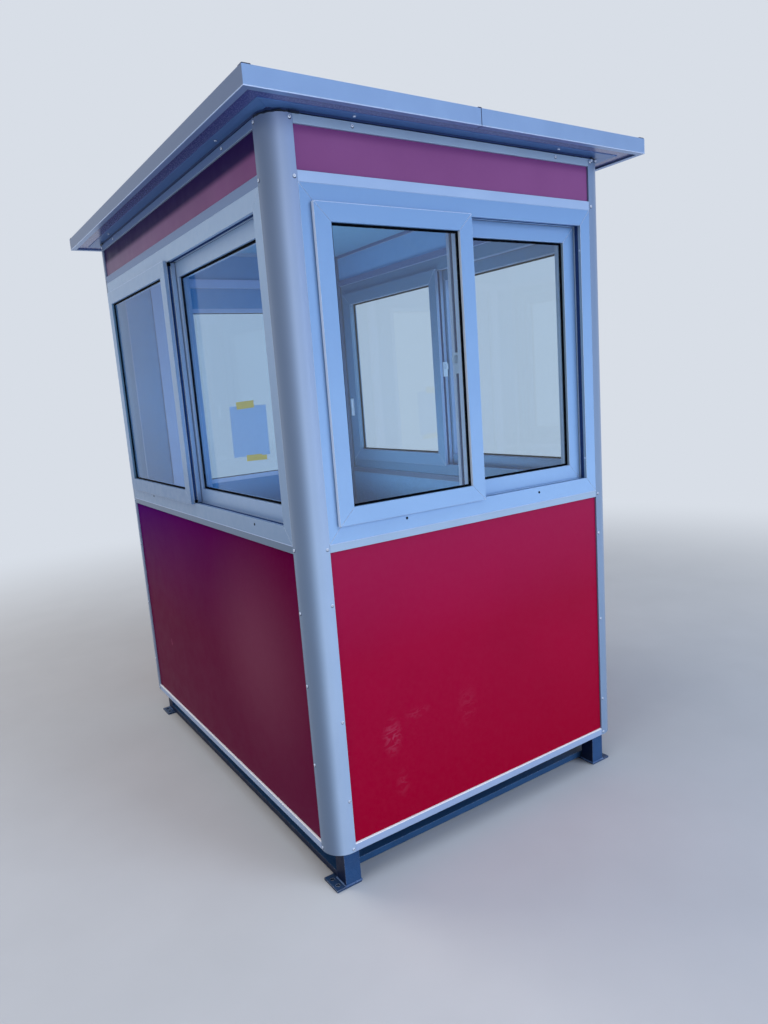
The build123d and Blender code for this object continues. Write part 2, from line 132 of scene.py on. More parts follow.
print("walls", {side: round(LENGTH[side]) for side in SIDES})

# %% [markdown]
# ## The camera
# The photograph was taken at eye height from about two metres off the near corner, with a wide lens
# tipped a little down and rolled. Its place and angles come from the booth's own straight edges. The
# lens has no shift, so that every other view of the booth is framed as it should be.

# %% The camera
PHOTO_FOCAL_PX = 731.6
PHOTO_HEIGHT_PX = 1024
SENSOR = 36.0
camera_data = bpy.data.cameras.new("camera")
camera_data.sensor_width = SENSOR
camera_data.lens = PHOTO_FOCAL_PX * SENSOR / PHOTO_HEIGHT_PX
camera_data.clip_end = 200.0
camera = bpy.data.objects.new("camera", camera_data)
camera.location = (-1.6478, -2.8852, 1.6320)
camera.rotation_euler = [math.radians(angle) for angle in (80.2356, 4.1855, -33.8114)]
scene.collection.objects.link(camera)
scene.camera = camera
print(f"camera {camera_data.lens:.2f} mm at", tuple(round(c, 3) for c in camera.location))

# %% [markdown]
# ## Colours and nodes
# Colours are picked as sRGB hex values, and shaders want linear light, so one function turns one into
# the other. One more function adds a node with its settings and wires. A finish is then a base colour
# with coats over it, each laid through a mask of noise, height or wear.

# %% Helpers for finishes
finishes = {}


def tone(hex_colour):
    """An sRGB hex colour as linear RGBA."""
    channels = [int(hex_colour[i:i + 2], 16) / 255 for i in (1, 3, 5)]
    linear = [c / 12.92 if c <= 0.04045 else ((c + 0.055) / 1.055) ** 2.4 for c in channels]
    return (*linear, 1.0)


def wire(tree, node, wires):
    """Links or fills the sockets of a node that are named in wires. A string is a hex colour."""
    for socket, value in wires.items():
        if isinstance(value, bpy.types.NodeSocket):
            tree.links.new(value, node.inputs[socket])
        else:
            node.inputs[socket].default_value = tone(value) if isinstance(value, str) else value


def add(tree, kind, wires=None, **settings):
    """Adds a node with its settings, and links or fills its sockets."""
    node = tree.nodes.new(kind)
    for name, value in settings.items():
        setattr(node, name, value)
    wire(tree, node, wires or {})
    return node


def new_finish(name):
    """A new material with its output and a Principled shader joined to it."""
    finishes[name] = bpy.data.materials.new(name)
    finishes[name].use_nodes = True
    tree = finishes[name].node_tree
    tree.nodes.clear()
    shader = add(tree, "ShaderNodeBsdfPrincipled")
    add(tree, "ShaderNodeOutputMaterial", {"Surface": shader.outputs["BSDF"]}, name="output")
    return tree, shader, add(tree, "ShaderNodeTexCoord").outputs["Object"]


print("helpers ready")

# %% Masks and coats
# Sockets of a Mix node that mixes colours
FACTOR, FIRST, SECOND, MIXED = 0, 6, 7, 2


def coats(tree, base, *layers):
    """Lays colours over a base colour, each through a mask from 0 to 1."""
    for mask, colour in layers:
        mix = add(tree, "ShaderNodeMix", {FACTOR: mask, FIRST: base, SECOND: colour}, data_type="RGBA")
        base = mix.outputs[MIXED]
    return base


def cloud(tree, place, size, low_value=0.0, high_value=1.0, detail=3.0, stretch=(1, 1, 1)):
    """Soft noise with blobs of the given size in millimetres, spread between two values."""
    moved = add(tree, "ShaderNodeMapping", {"Vector": place, "Scale": stretch}).outputs["Vector"]
    blobs = add(tree, "ShaderNodeTexNoise", {
        "Vector": moved, "Scale": 1 / (size * MM), "Detail": detail, "Roughness": 0.55}).outputs["Fac"]
    return add(tree, "ShaderNodeMapRange", {
        "Value": blobs, "From Min": 0.3, "From Max": 0.7,
        "To Min": low_value, "To Max": high_value}).outputs["Result"]


def along(tree, place, axis, start, end, low_value=0.0, high_value=1.0, shape="LINEAR"):
    """A value that goes from one at start to another at end, both in millimetres along X, Y or Z."""
    where = add(tree, "ShaderNodeSeparateXYZ", {"Vector": place}).outputs[axis]
    return add(tree, "ShaderNodeMapRange", {
        "Value": where, "From Min": start * MM, "From Max": end * MM,
        "To Min": low_value, "To Max": high_value}, interpolation_type=shape).outputs["Result"]


def facing(tree, aim):
    """How far the surface faces a direction: 1 straight at it, -1 away from it."""
    normal = add(tree, "ShaderNodeNewGeometry").outputs["Normal"]
    return add(tree, "ShaderNodeVectorMath", {0: normal, 1: aim}, operation="DOT_PRODUCT").outputs["Value"]


def arris(tree, radius, samples, flat, sharp, strength=1.0):
    """A mask of the edges: full where the surface turns within a radius in millimetres."""
    probe = add(tree, "ShaderNodeBevel", {"Radius": radius * MM}, samples=samples).outputs["Normal"]
    return add(tree, "ShaderNodeMapRange", {
        "Value": facing(tree, probe), "From Min": flat, "From Max": sharp,
        "To Max": strength}).outputs["Result"]


print("masks ready")

# %% [markdown]
# ## Silver coating
# Posts, rails and roof edge are aluminium with a satin silver powder coat. It has fine metal flakes
# under a thin clear layer: broad soft highlights, a slight speckle, and faint clouds where the coat
# is thicker. A part-metallic Principled shader with flake noise gives that.

# %% Silver powder coat
LOW_DOWN, HIGH_UP, POST_HEAD = 900, 2100, 2390
TO_LEFT = -90


def silver_coat(name, pale, deep, roughness=0.36, metallic=0.15, painted_eaves_shade=None, painted_facing_shade=(),
                painted_shade_along_x=None, flake_depth=0.02):
    """Painted facing shade: a direction, the turn from it in degrees, a colour, its strength low and high.
    Painted shade along X fades in: where it starts, where it is full, its strength and its colour."""
    tree, shader, place = new_finish(name)
    # the real flakes are about 0.05 mm; they are drawn 1.2 mm so that they show
    flakes = cloud(tree, place, 1.2, detail=2.0)
    clouded = coats(tree, pale, (cloud(tree, place, 180), deep))
    base = coats(tree, clouded, (0.5, coats(tree, pale, (flakes, deep))))
    # painted shade of the eaves, darker towards the head
    if painted_eaves_shade:
        base = coats(tree, base, (along(tree, place, "Z", LOW_DOWN, POST_HEAD), painted_eaves_shade))
    # painted shade on the faces turned towards each direction
    for azimuth, turn, colour, low_strength, high_strength in painted_facing_shade:
        aim = (math.sin(math.radians(azimuth)), -math.cos(math.radians(azimuth)), 0.0)
        turned = add(tree, "ShaderNodeMapRange", {
            "Value": facing(tree, aim), "From Min": math.cos(math.radians(turn))},
            interpolation_type="SMOOTHSTEP").outputs["Result"]
        strength = along(tree, place, "Z", LOW_DOWN, HIGH_UP, low_strength, high_strength)
        amount = add(tree, "ShaderNodeMath", {0: turned, 1: strength}, operation="MULTIPLY")
        base = coats(tree, base, (amount.outputs["Value"], colour))
    # painted shade that fades in along X
    if painted_shade_along_x:
        start, end, strength, colour = painted_shade_along_x
        base = coats(tree, base, (along(tree, place, "X", start, end, 0.0, strength), colour))
    relief = add(tree, "ShaderNodeBump", {"Height": flakes, "Distance": flake_depth * MM})
    wire(tree, shader, {
        "Base Color": base, "Roughness": cloud(tree, place, 3.0, roughness - 0.05, roughness + 0.07),
        "Normal": relief.outputs["Normal"], "Metallic": metallic})


# the blue of these silver coats is the cool daylight, painted into their colour
silver_coat("silver_powder_coat", "#a2bae0", "#94add6")
# the posts are painted darker under the eaves for their shade. Shade is also painted on the side of the nose
# turned from the light, on the faces towards the front right, and towards the right-hand end
silver_coat("silver_post_coat", "#a9c3e4", "#9cb7da", painted_eaves_shade="#93a6c8",
            painted_shade_along_x=(300, 620, 0.6, "#5f7898"),
            painted_facing_shade=((-70, 48, "#475c7b", 0.72, 0.74), (30, 60, "#5f7aa8", 0.1, 0.66)))
# each rail, its two tones, and the shade painted on its face on the left side; the top rail is painted a
# greyer, darker tone for the eaves' shade
for rail, pale, deep, left, strength in (
        ("mid", "#98b3da", "#8aa6d0", "#5a74a0", 0.9), ("sill", "#9fbad8", "#92adcc", "#556c8a", 0.95),
        ("top", "#93acc9", "#869fbd", "#546f9e", 0.9)):
    silver_coat(f"silver_{rail}_rail_coat", pale, deep, painted_facing_shade=((TO_LEFT, 30, left, strength, strength),))
# the fascia's face on the left side is painted darker for its shade
silver_coat("silver_coil_coat", "#84a3d0", "#7593c1", 0.33, 0.45,
            painted_facing_shade=((TO_LEFT, 40, "#556483", 0.85, 0.85),))
# the underside of the eaves is the same sheet, painted a deeper violet for its shade and kept glossier by the
# shelter it gives itself; shade is painted darker still on its left side
silver_coat("silver_eaves_coat", "#6a71a2", "#616898", 0.24, 0.28, flake_depth=0.005,
            painted_shade_along_x=(-640, -700, 0.6, "#2c4090"))
silver_coat("silver_strip_coat", "#5179b4", "#496fa8", 0.36, 0.25, flake_depth=0.005)
# a dark navy painted for the shade in the gap under the eaves
silver_coat("gap_shade_coat", "#2a3d6c", "#22345f", 0.4, 0.3)
# a pale highlight painted on the fold along the fascia's foot, and on the sash tops and sill lips
silver_coat("silver_highlight_fold", "#b9cdee", "#a9bfe4", 0.3, 0.45)
# a near-white highlight painted along the ledge of the bottom rail
silver_coat("silver_ledge_highlight", "#f2f7ff", "#e6eefc", 0.3, 0.2)
print("silver", list(finishes))

# %% [markdown]
# ## Crimson panels
# The wall panels are coil-coated sheet: a baked polyester film, smooth and half glossy. It has a very
# fine orange peel, and a large sheet is never quite flat, so its reflections swim a little. The upper
# band is coloured plum, and the eaves' shadow is painted along its top. Shade, sheen and reflections
# on the lower sheets are painted into their colours as well.

# %% What wear does to a sheet, with its painted shadow and sheen
# heights between which the painted shadow of the eaves sets in
FRONT_EAVES_SHADOW = (WALL_TOP - 55, WALL_TOP - 27)
LEFT_EAVES_SHADOW = (WALL_TOP - 97, WALL_TOP - 71)


def paint_eaves_shadow(tree, place, base, front_shadow, left_shadow):
    """Paints the eaves' shadow across the top of a band, lower down on the left side."""
    on_left = along(tree, place, "X", -WIDTH / 2 + 20, -WIDTH / 2 + 10)
    front = coats(tree, base, (along(tree, place, "Z", *FRONT_EAVES_SHADOW, shape="SMOOTHSTEP"), front_shadow))
    # on the left, a paler grey light is painted in towards the back
    left = coats(tree, base, (along(tree, place, "Y", -900, 900, 0.05, 0.6), "#7c7a8e"),
                 (along(tree, place, "Z", *LEFT_EAVES_SHADOW, shape="SMOOTHSTEP"), left_shadow))
    return coats(tree, front, (on_left, left))


# a pale sheen is painted through this soft mask
def sheen_patch(tree, place, middle, reach, strength):
    """A mask that fades out round its middle, in metres."""
    away = add(tree, "ShaderNodeVectorMath", {0: place, 1: middle}, operation="DISTANCE").outputs["Value"]
    return add(tree, "ShaderNodeMapRange", {
        "Value": away, "From Min": reach, "From Max": 0.0, "To Max": strength},
        interpolation_type="SMOOTHSTEP").outputs["Result"]


def rub_mark(tree, place, centre, radius, strength, squeeze):
    """A rub leaves soft curved strokes: the places where stretched noise crosses its middle."""
    away = add(tree, "ShaderNodeVectorMath", {0: place, 1: centre}, operation="SUBTRACT").outputs["Vector"]
    squeezed = add(tree, "ShaderNodeMapping", {
        "Vector": away, "Rotation": (0.0, 0.35, 0.0), "Scale": squeeze}).outputs["Vector"]
    distance = add(tree, "ShaderNodeVectorMath", {0: squeezed}, operation="LENGTH").outputs["Value"]
    near = add(tree, "ShaderNodeMapRange", {
        "Value": distance, "From Min": radius, "From Max": 0.0, "To Max": strength}).outputs["Result"]
    stroke = add(tree, "ShaderNodeMapping", {
        "Vector": place, "Rotation": (0.0, 0.5, 0.0), "Scale": (0.7, 1.0, 1.5)}).outputs["Vector"]
    swirl = add(tree, "ShaderNodeTexNoise", {
        "Vector": stroke, "Scale": 22.0, "Detail": 3.0, "Roughness": 0.6, "Distortion": 0.6}).outputs["Fac"]
    offset = add(tree, "ShaderNodeMath", {0: swirl, 1: 0.5}, operation="SUBTRACT").outputs["Value"]
    height = add(tree, "ShaderNodeMath", {0: offset}, operation="ABSOLUTE").outputs["Value"]
    line = add(tree, "ShaderNodeMapRange", {
        "Value": height, "From Min": 0.085, "From Max": 0.0},
        interpolation_type="SMOOTHSTEP").outputs["Result"]
    return add(tree, "ShaderNodeMath", {0: near, 1: line}, operation="MULTIPLY").outputs["Value"]


def mark_at(x, y, z, radius, strength, squeeze=(1.0, 1.0, 0.6)):
    """A rub mark's place and size, from millimetres."""
    return (x * MM, y * MM, z * MM), radius * MM, strength, squeeze


SCUFFS = tuple(mark_at(-WIDTH / 2 + u, -DEPTH / 2, *mark) for u, *mark in (
    (262, 478, 46, 0.28), (372, 530, 44, 0.13, (0.7, 1.0, 1.9)), (588, 487, 56, 0.09), (290, 298, 34, 0.13)))
SIDE_MARK = (mark_at(-WIDTH / 2, 583, 477, 16, 0.9, (1.0, 1.0, 0.7)),)
print(len(SCUFFS + SIDE_MARK), "rub marks")


# %% Crimson coil coating
# where the tones of a lower sheet fade: along the booth, below the sill rail, and at the sheet's head
FAR_FADE, UNDER_SILL_FADE, SHEET_HEAD_FADE = (-800, 900), (620, 1120), (760, 1130)


def coil_coating(name, colour, shade, roughness=0.34, scuffs=(), specular=0.12, foot_dirt_and_shade=None,
                 painted_head_tone=None, far_painted_tone=None, eaves_shadow_tones=None, painted_sheen=None):
    """Coated sheet, with splash dirt and painted shade at its foot, a painted sheen at its head, and painted
    reflection at its far end.
    """
    tree, shader, place = new_finish(name)
    base = coats(tree, colour, (cloud(tree, place, 420, detail=2.0), shade))
    # a purple reflection painted towards the far end and below the sill
    if far_painted_tone:
        far = along(tree, place, "Y", *FAR_FADE, 0.1, 1.0)
        under_sill = along(tree, place, "Z", *UNDER_SILL_FADE, 0.12, 1.0)
        amount = add(tree, "ShaderNodeMath", {0: far, 1: under_sill}, operation="MULTIPLY")
        base = coats(tree, base, (amount.outputs["Value"], far_painted_tone))
    if foot_dirt_and_shade:
        # darker and less blue towards the ground: splash dirt, and painted shade against the floor's bounce
        # light
        base = coats(tree, foot_dirt_and_shade, (along(tree, place, "Z", RAIL_TOP, SILL_LOW), base))
        # splashes of rain have dulled the sheet towards the ground
        specular = along(tree, place, "Z", RAIL_TOP, SILL_LOW, 0.02, specular)
    # a sheen painted over the head of the sheet
    if painted_head_tone:
        base = coats(tree, base, (along(tree, place, "Z", *SHEET_HEAD_FADE), painted_head_tone))
    # a pale sheen painted in a soft patch
    if painted_sheen:
        patch, pale = painted_sheen
        base = coats(tree, base, (sheen_patch(tree, place, *patch), pale))
    dust = cloud(tree, place, 14, 0.0, 0.012, detail=6.0)
    base = coats(tree, base, (dust, "#b98aa4"), *(
        (rub_mark(tree, place, *scuff), "#c0688a") for scuff in scuffs))
    # the eaves' shadow is painted over the top of the band
    if eaves_shadow_tones:
        base = paint_eaves_shadow(tree, place, base, *eaves_shadow_tones)
    # orange peel is about 2 mm across, and the sheet waves over half a metre
    peel = add(tree, "ShaderNodeBump", {
        "Height": cloud(tree, place, 2.5, detail=1.0), "Distance": 0.01 * MM}).outputs["Normal"]
    waves = add(tree, "ShaderNodeBump", {
        "Height": cloud(tree, place, 500, detail=1.0), "Distance": 1.2 * MM, "Normal": peel})
    wire(tree, shader, {
        "Base Color": base, "Roughness": cloud(tree, place, 60, roughness - 0.04, roughness + 0.05),
        "Normal": waves.outputs["Normal"], "Specular IOR Level": specular})


coil_coating("crimson_coil_coat", "#9c003c", "#900037", foot_dirt_and_shade="#98002a")
coil_coating("crimson_scuffed_coat", "#9c003c", "#900037", scuffs=SCUFFS, foot_dirt_and_shade="#98002a",
             painted_head_tone="#940f45")
# the long left side is painted a deeper, more violet crimson for its shade, with a purple reflection painted
# towards its far end and a pale sheen painted in a patch near the front
# the patch's middle and reach in metres, and its strength
SHEEN_PATCH = ((-WIDTH / 2 * MM, -0.5, 0.72), 0.55, 0.42)
coil_coating("crimson_shade_coat", "#620034", "#59002e", scuffs=SIDE_MARK, specular=0.0,
             foot_dirt_and_shade="#600036", far_painted_tone="#480868", painted_sheen=(SHEEN_PATCH, "#844c64"))
coil_coating("plum_coil_coat", "#7e4d81", "#734376", 0.38, specular=0.05, eaves_shadow_tones=("#693a70", "#1c0040"))
print("panels", [name for name in finishes if "coil" in name])

# %% [markdown]
# ## Window profiles
# Frames and sashes are extruded white plastic, sawn at 45 degrees and welded. In cool daylight they
# look pale blue, and that blue is painted into them. The surface is smooth and waxy. Light and shade
# are painted on it as well: from sill to head, on the faces towards the room and as pale arrises.

# %% Extruded window plastic
def window_plastic(name, sill_colour, painted_head_tone, shade, painted_lit_ends=False):
    """Front windows get painted light on their faces turned to the left. On the others the proud sash of the
    left side is darker towards its foot.
    """
    tree, shader, place = new_finish(name)
    # light and shade painted from sill to head: the front heads darker under the eaves, the side sills darker
    base = coats(tree, sill_colour, (along(tree, place, "Z", SILL_TOP, MID_LOW), painted_head_tone),
                 (cloud(tree, place, 240, 0.0, 0.18), shade),
                 (cloud(tree, place, 9, 0.0, 0.04, detail=6.0), "#5f6f8a"))
    if painted_lit_ends:
        # painted light on the faces turned to the left
        ends = add(tree, "ShaderNodeMapRange", {
            "Value": facing(tree, (1, 0, 0)), "From Min": -0.6, "From Max": -0.95, "To Max": 0.7})
        base = coats(tree, base, (ends.outputs["Result"], "#e4effc"))
    else:
        # the proud sash of the left side is darker towards its foot
        proud = along(tree, place, "X", -WIDTH / 2 - 6, -WIDTH / 2 - 12)
        low_down = along(tree, place, "Z", SILL_TOP + 90, SILL_TOP + 260, 0.62, 0.15)
        darker_foot = add(tree, "ShaderNodeMath", {0: proud, 1: low_down}, operation="MULTIPLY")
        base = coats(tree, base, (darker_foot.outputs["Value"], "#4b6c98"))
    # faces towards the room are painted a deeper, greener tone for the shade inside
    level = add(tree, "ShaderNodeVectorMath", {0: place, 1: (1, 1, 0)}, operation="MULTIPLY")
    room_side_shade = add(tree, "ShaderNodeMapRange", {
        "Value": facing(tree, level.outputs["Vector"]), "From Min": -0.3, "From Max": -0.5, "To Max": 0.7})
    # fine pale highlights are painted along the arrises
    base = coats(tree, base, (room_side_shade.outputs["Result"], "#437391"),
                 (arris(tree, 1.4, 4, 0.99, 0.86, 0.9), "#e8f2ff"))
    relief = add(tree, "ShaderNodeBump", {"Height": cloud(tree, place, 4), "Distance": 0.015 * MM})
    wire(tree, shader, {
        "Base Color": base, "Roughness": cloud(tree, place, 30, 0.30, 0.42),
        "Normal": relief.outputs["Normal"], "IOR": 1.53})


window_plastic("window_plastic", "#8cb3e2", "#6991c4", "#6a8fc2", painted_lit_ends=True)
# the long sides have no painted light on their ends, and are painted darker at the sills for shade, the side
# frames most
window_plastic("window_plastic_sides", "#82a3d0", "#91aed2", "#7c9ac6")
window_plastic("side_frame_plastic", "#6f8eb6", "#91aed2", "#7c9ac6")
PLASTIC_OF = {"front": "window_plastic", "left": "window_plastic_sides", "right": "window_plastic_sides"}
FRAME_PLASTIC_OF = {"front": "window_plastic", "left": "side_frame_plastic", "right": "side_frame_plastic"}
print("window plastic ready")

# %% [markdown]
# ## Float glass
# Each pane is a thin closed slab. Real glass lets daylight through, which a path tracer finds slowly
# through a refracting slab, so rays from the lamps pass a clear film instead and the room is lit.

# %% Float glass
def float_glass(name, colour, cast, bend=1.5):
    """A pane's colour, the colour of the light that it lets past, and its IOR."""
    tree, shader, place = new_finish(name)
    wire(tree, shader, {
        "Base Color": colour, "Roughness": cloud(tree, place, 90, 0.0, 0.02, detail=5.0), "IOR": bend,
        "Transmission Weight": 1.0})
    film = add(tree, "ShaderNodeBsdfTransparent", {"Color": cast})
    path = add(tree, "ShaderNodeLightPath")
    through = add(tree, "ShaderNodeMixShader", {
        0: path.outputs["Is Shadow Ray"], 1: shader.outputs["BSDF"], 2: film.outputs["BSDF"]})
    wire(tree, tree.nodes["output"], {"Surface": through.outputs["Shader"]})


float_glass("float_glass", "#e0ecf5", "#ecf6fb")
# the left panes are tinted a deeper blue and reflect less
float_glass("filmed_glass", "#c4d9ec", "#dcebf8", 1.16)
print("glass ready")

# %% [markdown]
# ## Painted steel, inner lining and small stuff
# The base is welded tube under dark blue-grey enamel, chipped pale along the edges of its foot
# plates, with highlights painted pale along its arrises and shade painted dark on the faces towards
# the long sides. The lining is matt white sheet, painted pale blue for the cool daylight and deeper
# where it stands in shade. Rubber, sealant, brush, stainless steel, paper and tape are each a short recipe.

# %% Base enamel
def enamel(name, colour, shade, chips_and_highlight, side_shade):
    """Chips and highlight from 0 to 1 is how far the arrises are painted pale: partly worn to bare metal,
    partly painted highlight.
    """
    tree, shader, place = new_finish(name)
    # faces towards the long sides are painted dark for their shade
    sideways_shade = add(tree, "ShaderNodeMath", {0: facing(tree, (1, 0, 0))}, operation="ABSOLUTE")
    # noise breaks up the pale line along each arris
    worn = cloud(tree, place, 8, chips_and_highlight - 0.9, chips_and_highlight + 0.6, detail=6.0)
    pale_arrises = add(tree, "ShaderNodeMath", {0: arris(tree, 2.2, 6, 0.995, 0.9), 1: worn}, operation="MULTIPLY",
               use_clamp=True)
    base = coats(tree, colour, (cloud(tree, place, 70), shade),
                 (cloud(tree, place, 5, 0.0, 0.10, detail=7.0), "#7f93b4"),
                 (sideways_shade.outputs["Value"], side_shade), (pale_arrises.outputs["Value"], "#a9b4c4"))
    relief = add(tree, "ShaderNodeBump", {"Height": cloud(tree, place, 3), "Distance": 0.06 * MM})
    wire(tree, shader, {
        "Base Color": base, "Roughness": cloud(tree, place, 25, 0.38, 0.55),
        "Normal": relief.outputs["Normal"], "Specular IOR Level": 0.2})


enamel("base_enamel", "#1f4a7c", "#1a406e", 0.5, "#041434")
enamel("foot_enamel", "#203f69", "#1a355c", 1.05, "#142a4a")
enamel("beam_enamel", "#1f4b78", "#1a426c", 0.5, "#041434")
print("enamel ready")

# %% Plain recipes
def plain_finish(name, colour, shade, roughness, grain, relief_depth=0.05, metallic=0.0, stretch=(1, 1, 1),
                 specular=0.5, foot=None):
    """A surface with soft mottling and fine relief, its grain in millimetres, and painted shade low down."""
    tree, shader, place = new_finish(name)
    grains = cloud(tree, place, grain, detail=4.0, stretch=stretch)
    base = coats(tree, colour, (cloud(tree, place, grain * 12), shade))
    if foot:
        # painted shade, deeper towards the floor
        low_shade_colour, low_z, high_z = foot
        base = coats(tree, low_shade_colour, (along(tree, place, "Z", low_z, high_z), base))
    relief = add(tree, "ShaderNodeBump", {"Height": grains, "Distance": relief_depth * MM})
    wire(tree, shader, {
        "Base Color": coats(tree, base, (grains, shade)),
        "Roughness": cloud(tree, place, grain * 3, roughness - 0.06, roughness + 0.06),
        "Normal": relief.outputs["Normal"], "Metallic": metallic, "Specular IOR Level": specular})


# the shade painted below the windows, and the heights between which it fades upwards
LINING_LOW_SHADE, DOOR_LOW_SHADE = ("#29527a", 950, 1650), ("#2c5684", 1050, 1300)
# the white lining is painted pale blue for the cool daylight, and the back wall and the ceiling a deeper blue
# for their shade
plain_finish("lining_paint", "#85bde8", "#7ab2de", 0.5, 3.0, foot=LINING_LOW_SHADE)
plain_finish("back_lining_shade_paint", "#5c94c2", "#5288b6", 0.5, 3.0, foot=LINING_LOW_SHADE)
plain_finish("ceiling_shade_paint", "#73aed4", "#69a2c8", 0.55, 3.0)
plain_finish("door_inner_paint", "#6499c8", "#5a8dbc", 0.48, 3.0, foot=DOOR_LOW_SHADE)
plain_finish("roof_core", "#d8dde3", "#c6ccd4", 0.6, 4.0)
plain_finish("vinyl_floor", "#3f566e", "#354a60", 0.45, 2.0)
plain_finish("lap_rubber", "#2a2e4c", "#22263f", 0.7, 5.0, 0.15, specular=0.2)
plain_finish("glazing_rubber", "#05080f", "#04060c", 0.6, 2.0, specular=0.02)
plain_finish("sealant", "#18233a", "#111a2c", 0.42, 5.0, 0.2, specular=0.2)
plain_finish("brush_pile", "#2e4a80", "#223a6a", 0.9, 0.8, 0.3, specular=0.1)
plain_finish("stainless_steel", "#b6bcc6", "#a4abb6", 0.28, 1.0, 0.01, metallic=1.0, stretch=(1, 1, 8))
plain_finish("screw_zinc", "#dfe9f8", "#c6d5ec", 0.3, 1.0, 0.01, metallic=0.3)
plain_finish("screw_recess_and_shadow", "#1b2740", "#141e33", 0.6, 1.0, 0.02, specular=0.1)
plain_finish("latch_plastic", "#cfe0ee", "#c1d4e6", 0.4, 2.0, 0.02)
plain_finish("notice_paper", "#a3bddb", "#9ab4d4", 0.8, 1.5, 0.05)
plain_finish("yellow_tape", "#e6c768", "#d8b858", 0.55, 1.5, 0.05)
plain_finish("weld_scale", "#86a6d2", "#2c4a7c", 0.5, 1.6, 0.2)
plain_finish("bead_plastic", "#a9bcdc", "#9eb2d4", 0.4, 3.0, 0.02)
print(len(finishes), "finishes")

# %% [markdown]
# ## Roofing rubber
# The roof is covered in three lengths of black rubber sheet that lap over each other. Dust lies on it
# in pale patches, and each lap is a darker band with a dusty rim and a small step.

# %% Roofing rubber
ROLL_LAP_AT, LAP_WIDTH, LAP_STEP, LAP_RIM = 356.0, 76.0, 2.5, 4.0
tree, shader, place = new_finish("roof_rubber")


def distance_from(value, mark):
    """How far a value is from a mark, on either side of it."""
    past = add(tree, "ShaderNodeMath", {0: value, 1: mark}, operation="SUBTRACT").outputs["Value"]
    return add(tree, "ShaderNodeMath", {0: past}, operation="ABSOLUTE").outputs["Value"]


lap_half = LAP_WIDTH / 2 * MM
across = add(tree, "ShaderNodeSeparateXYZ", {"Vector": place}).outputs["Y"]
off_lap = distance_from(distance_from(across, 0.0), ROLL_LAP_AT * MM)
lap = add(tree, "ShaderNodeMapRange", {
    "Value": off_lap, "From Min": lap_half + LAP_STEP * MM, "From Max": lap_half}).outputs["Result"]
rim = add(tree, "ShaderNodeMapRange", {
    "Value": distance_from(off_lap, lap_half), "From Min": LAP_RIM * MM, "From Max": 0.0, "To Max": 0.8})
base = coats(tree, "#2b3038", (cloud(tree, place, 90), "#23272e"),
             (cloud(tree, place, 420, -0.25, 0.55, detail=6.0), "#555b63"), (lap, "#1e2228"),
             (rim.outputs["Result"], "#6a7077"))
fine = add(tree, "ShaderNodeBump", {
    "Height": cloud(tree, place, 6, detail=4.0), "Distance": 0.15 * MM}).outputs["Normal"]
step = add(tree, "ShaderNodeBump", {"Height": lap, "Distance": 1.5 * MM, "Normal": fine}).outputs["Normal"]
wire(tree, shader, {"Base Color": base, "Roughness": cloud(tree, place, 18, 0.69, 0.81), "Normal": step})
print("roofing ready")

# %% [markdown]
# ## Shapes from a few tools
# Nearly everything on the booth is a bar of some section, sawn to length. So a bar starts as a small
# outline, is extruded, and has its ends cut by planes, as on a saw. Blocks and round heads come from
# bmesh's own cube and cone.

# %% Blocks, bars and pieces
ROUND = {"segments": 2, "profile": 0.5, "material": -1, "clamp_overlap": True}


def paint(verts, slot):
    """Gives the faces at these vertices one of the piece's finishes."""
    for face in {f for v in verts for f in v.link_faces}:
        face.material_index = slot


def add_disc(bm, place, radius, depth, segments, slot=0, foot=None):
    """A round bar with flat ends along its own Z, a little wider at its foot if need be."""
    verts = bmesh.ops.create_cone(bm, cap_ends=True, segments=segments, radius1=foot or radius,
                                  radius2=radius, depth=depth, matrix=place)["verts"]
    paint(verts, slot)
    return verts


def add_block(bm, u, d, z, edge=0.0, slot=0):
    """A block from three (low, high) pairs, its edges rounded."""
    pairs = (u, d, z)
    middle = Vector([(a + b) / 2 for a, b in pairs])
    size = Vector([b - a for a, b in pairs])
    verts = bmesh.ops.create_cube(bm, size=1.0)["verts"]
    bmesh.ops.transform(bm, matrix=Matrix.LocRotScale(middle, None, size), verts=verts)
    paint(verts, slot)
    if edge:
        edges = list({e for v in verts for e in v.link_edges})
        bmesh.ops.bevel(bm, geom=edges, offset=edge, affect="EDGES", **ROUND)


def bar(outline, length, cuts=(), rounding=0.0, joint=0.0, slot=0):
    """A bar along +X from an outline in Y and Z, cut by planes and eased where it was cut."""
    made = bmesh.new()
    verts = [made.verts.new((0, y, z)) for y, z in outline]
    made.faces.new(verts)
    if rounding:
        bmesh.ops.bevel(made, geom=verts, offset=rounding, affect="VERTICES", **ROUND)
    grown = bmesh.ops.extrude_face_region(made, geom=made.faces[:])["geom"]
    far = [v for v in grown if isinstance(v, bmesh.types.BMVert)]
    bmesh.ops.translate(made, vec=(length, 0, 0), verts=far)
    sawn = []
    for point, normal in cuts:
        everything = made.verts[:] + made.edges[:] + made.faces[:]
        cut = bmesh.ops.bisect_plane(
            made, geom=everything, plane_co=point, plane_no=normal, clear_outer=True)["geom_cut"]
        edges = [e for e in cut if isinstance(e, bmesh.types.BMEdge)]
        sawn += bmesh.ops.edgeloop_fill(made, edges=edges)["faces"]
    if joint and sawn:
        edges = list({e for f in sawn for e in f.edges})
        bmesh.ops.bevel(made, geom=edges, offset=joint, affect="EDGES", **{**ROUND, "segments": 1})
    paint(made.verts, slot)
    return made


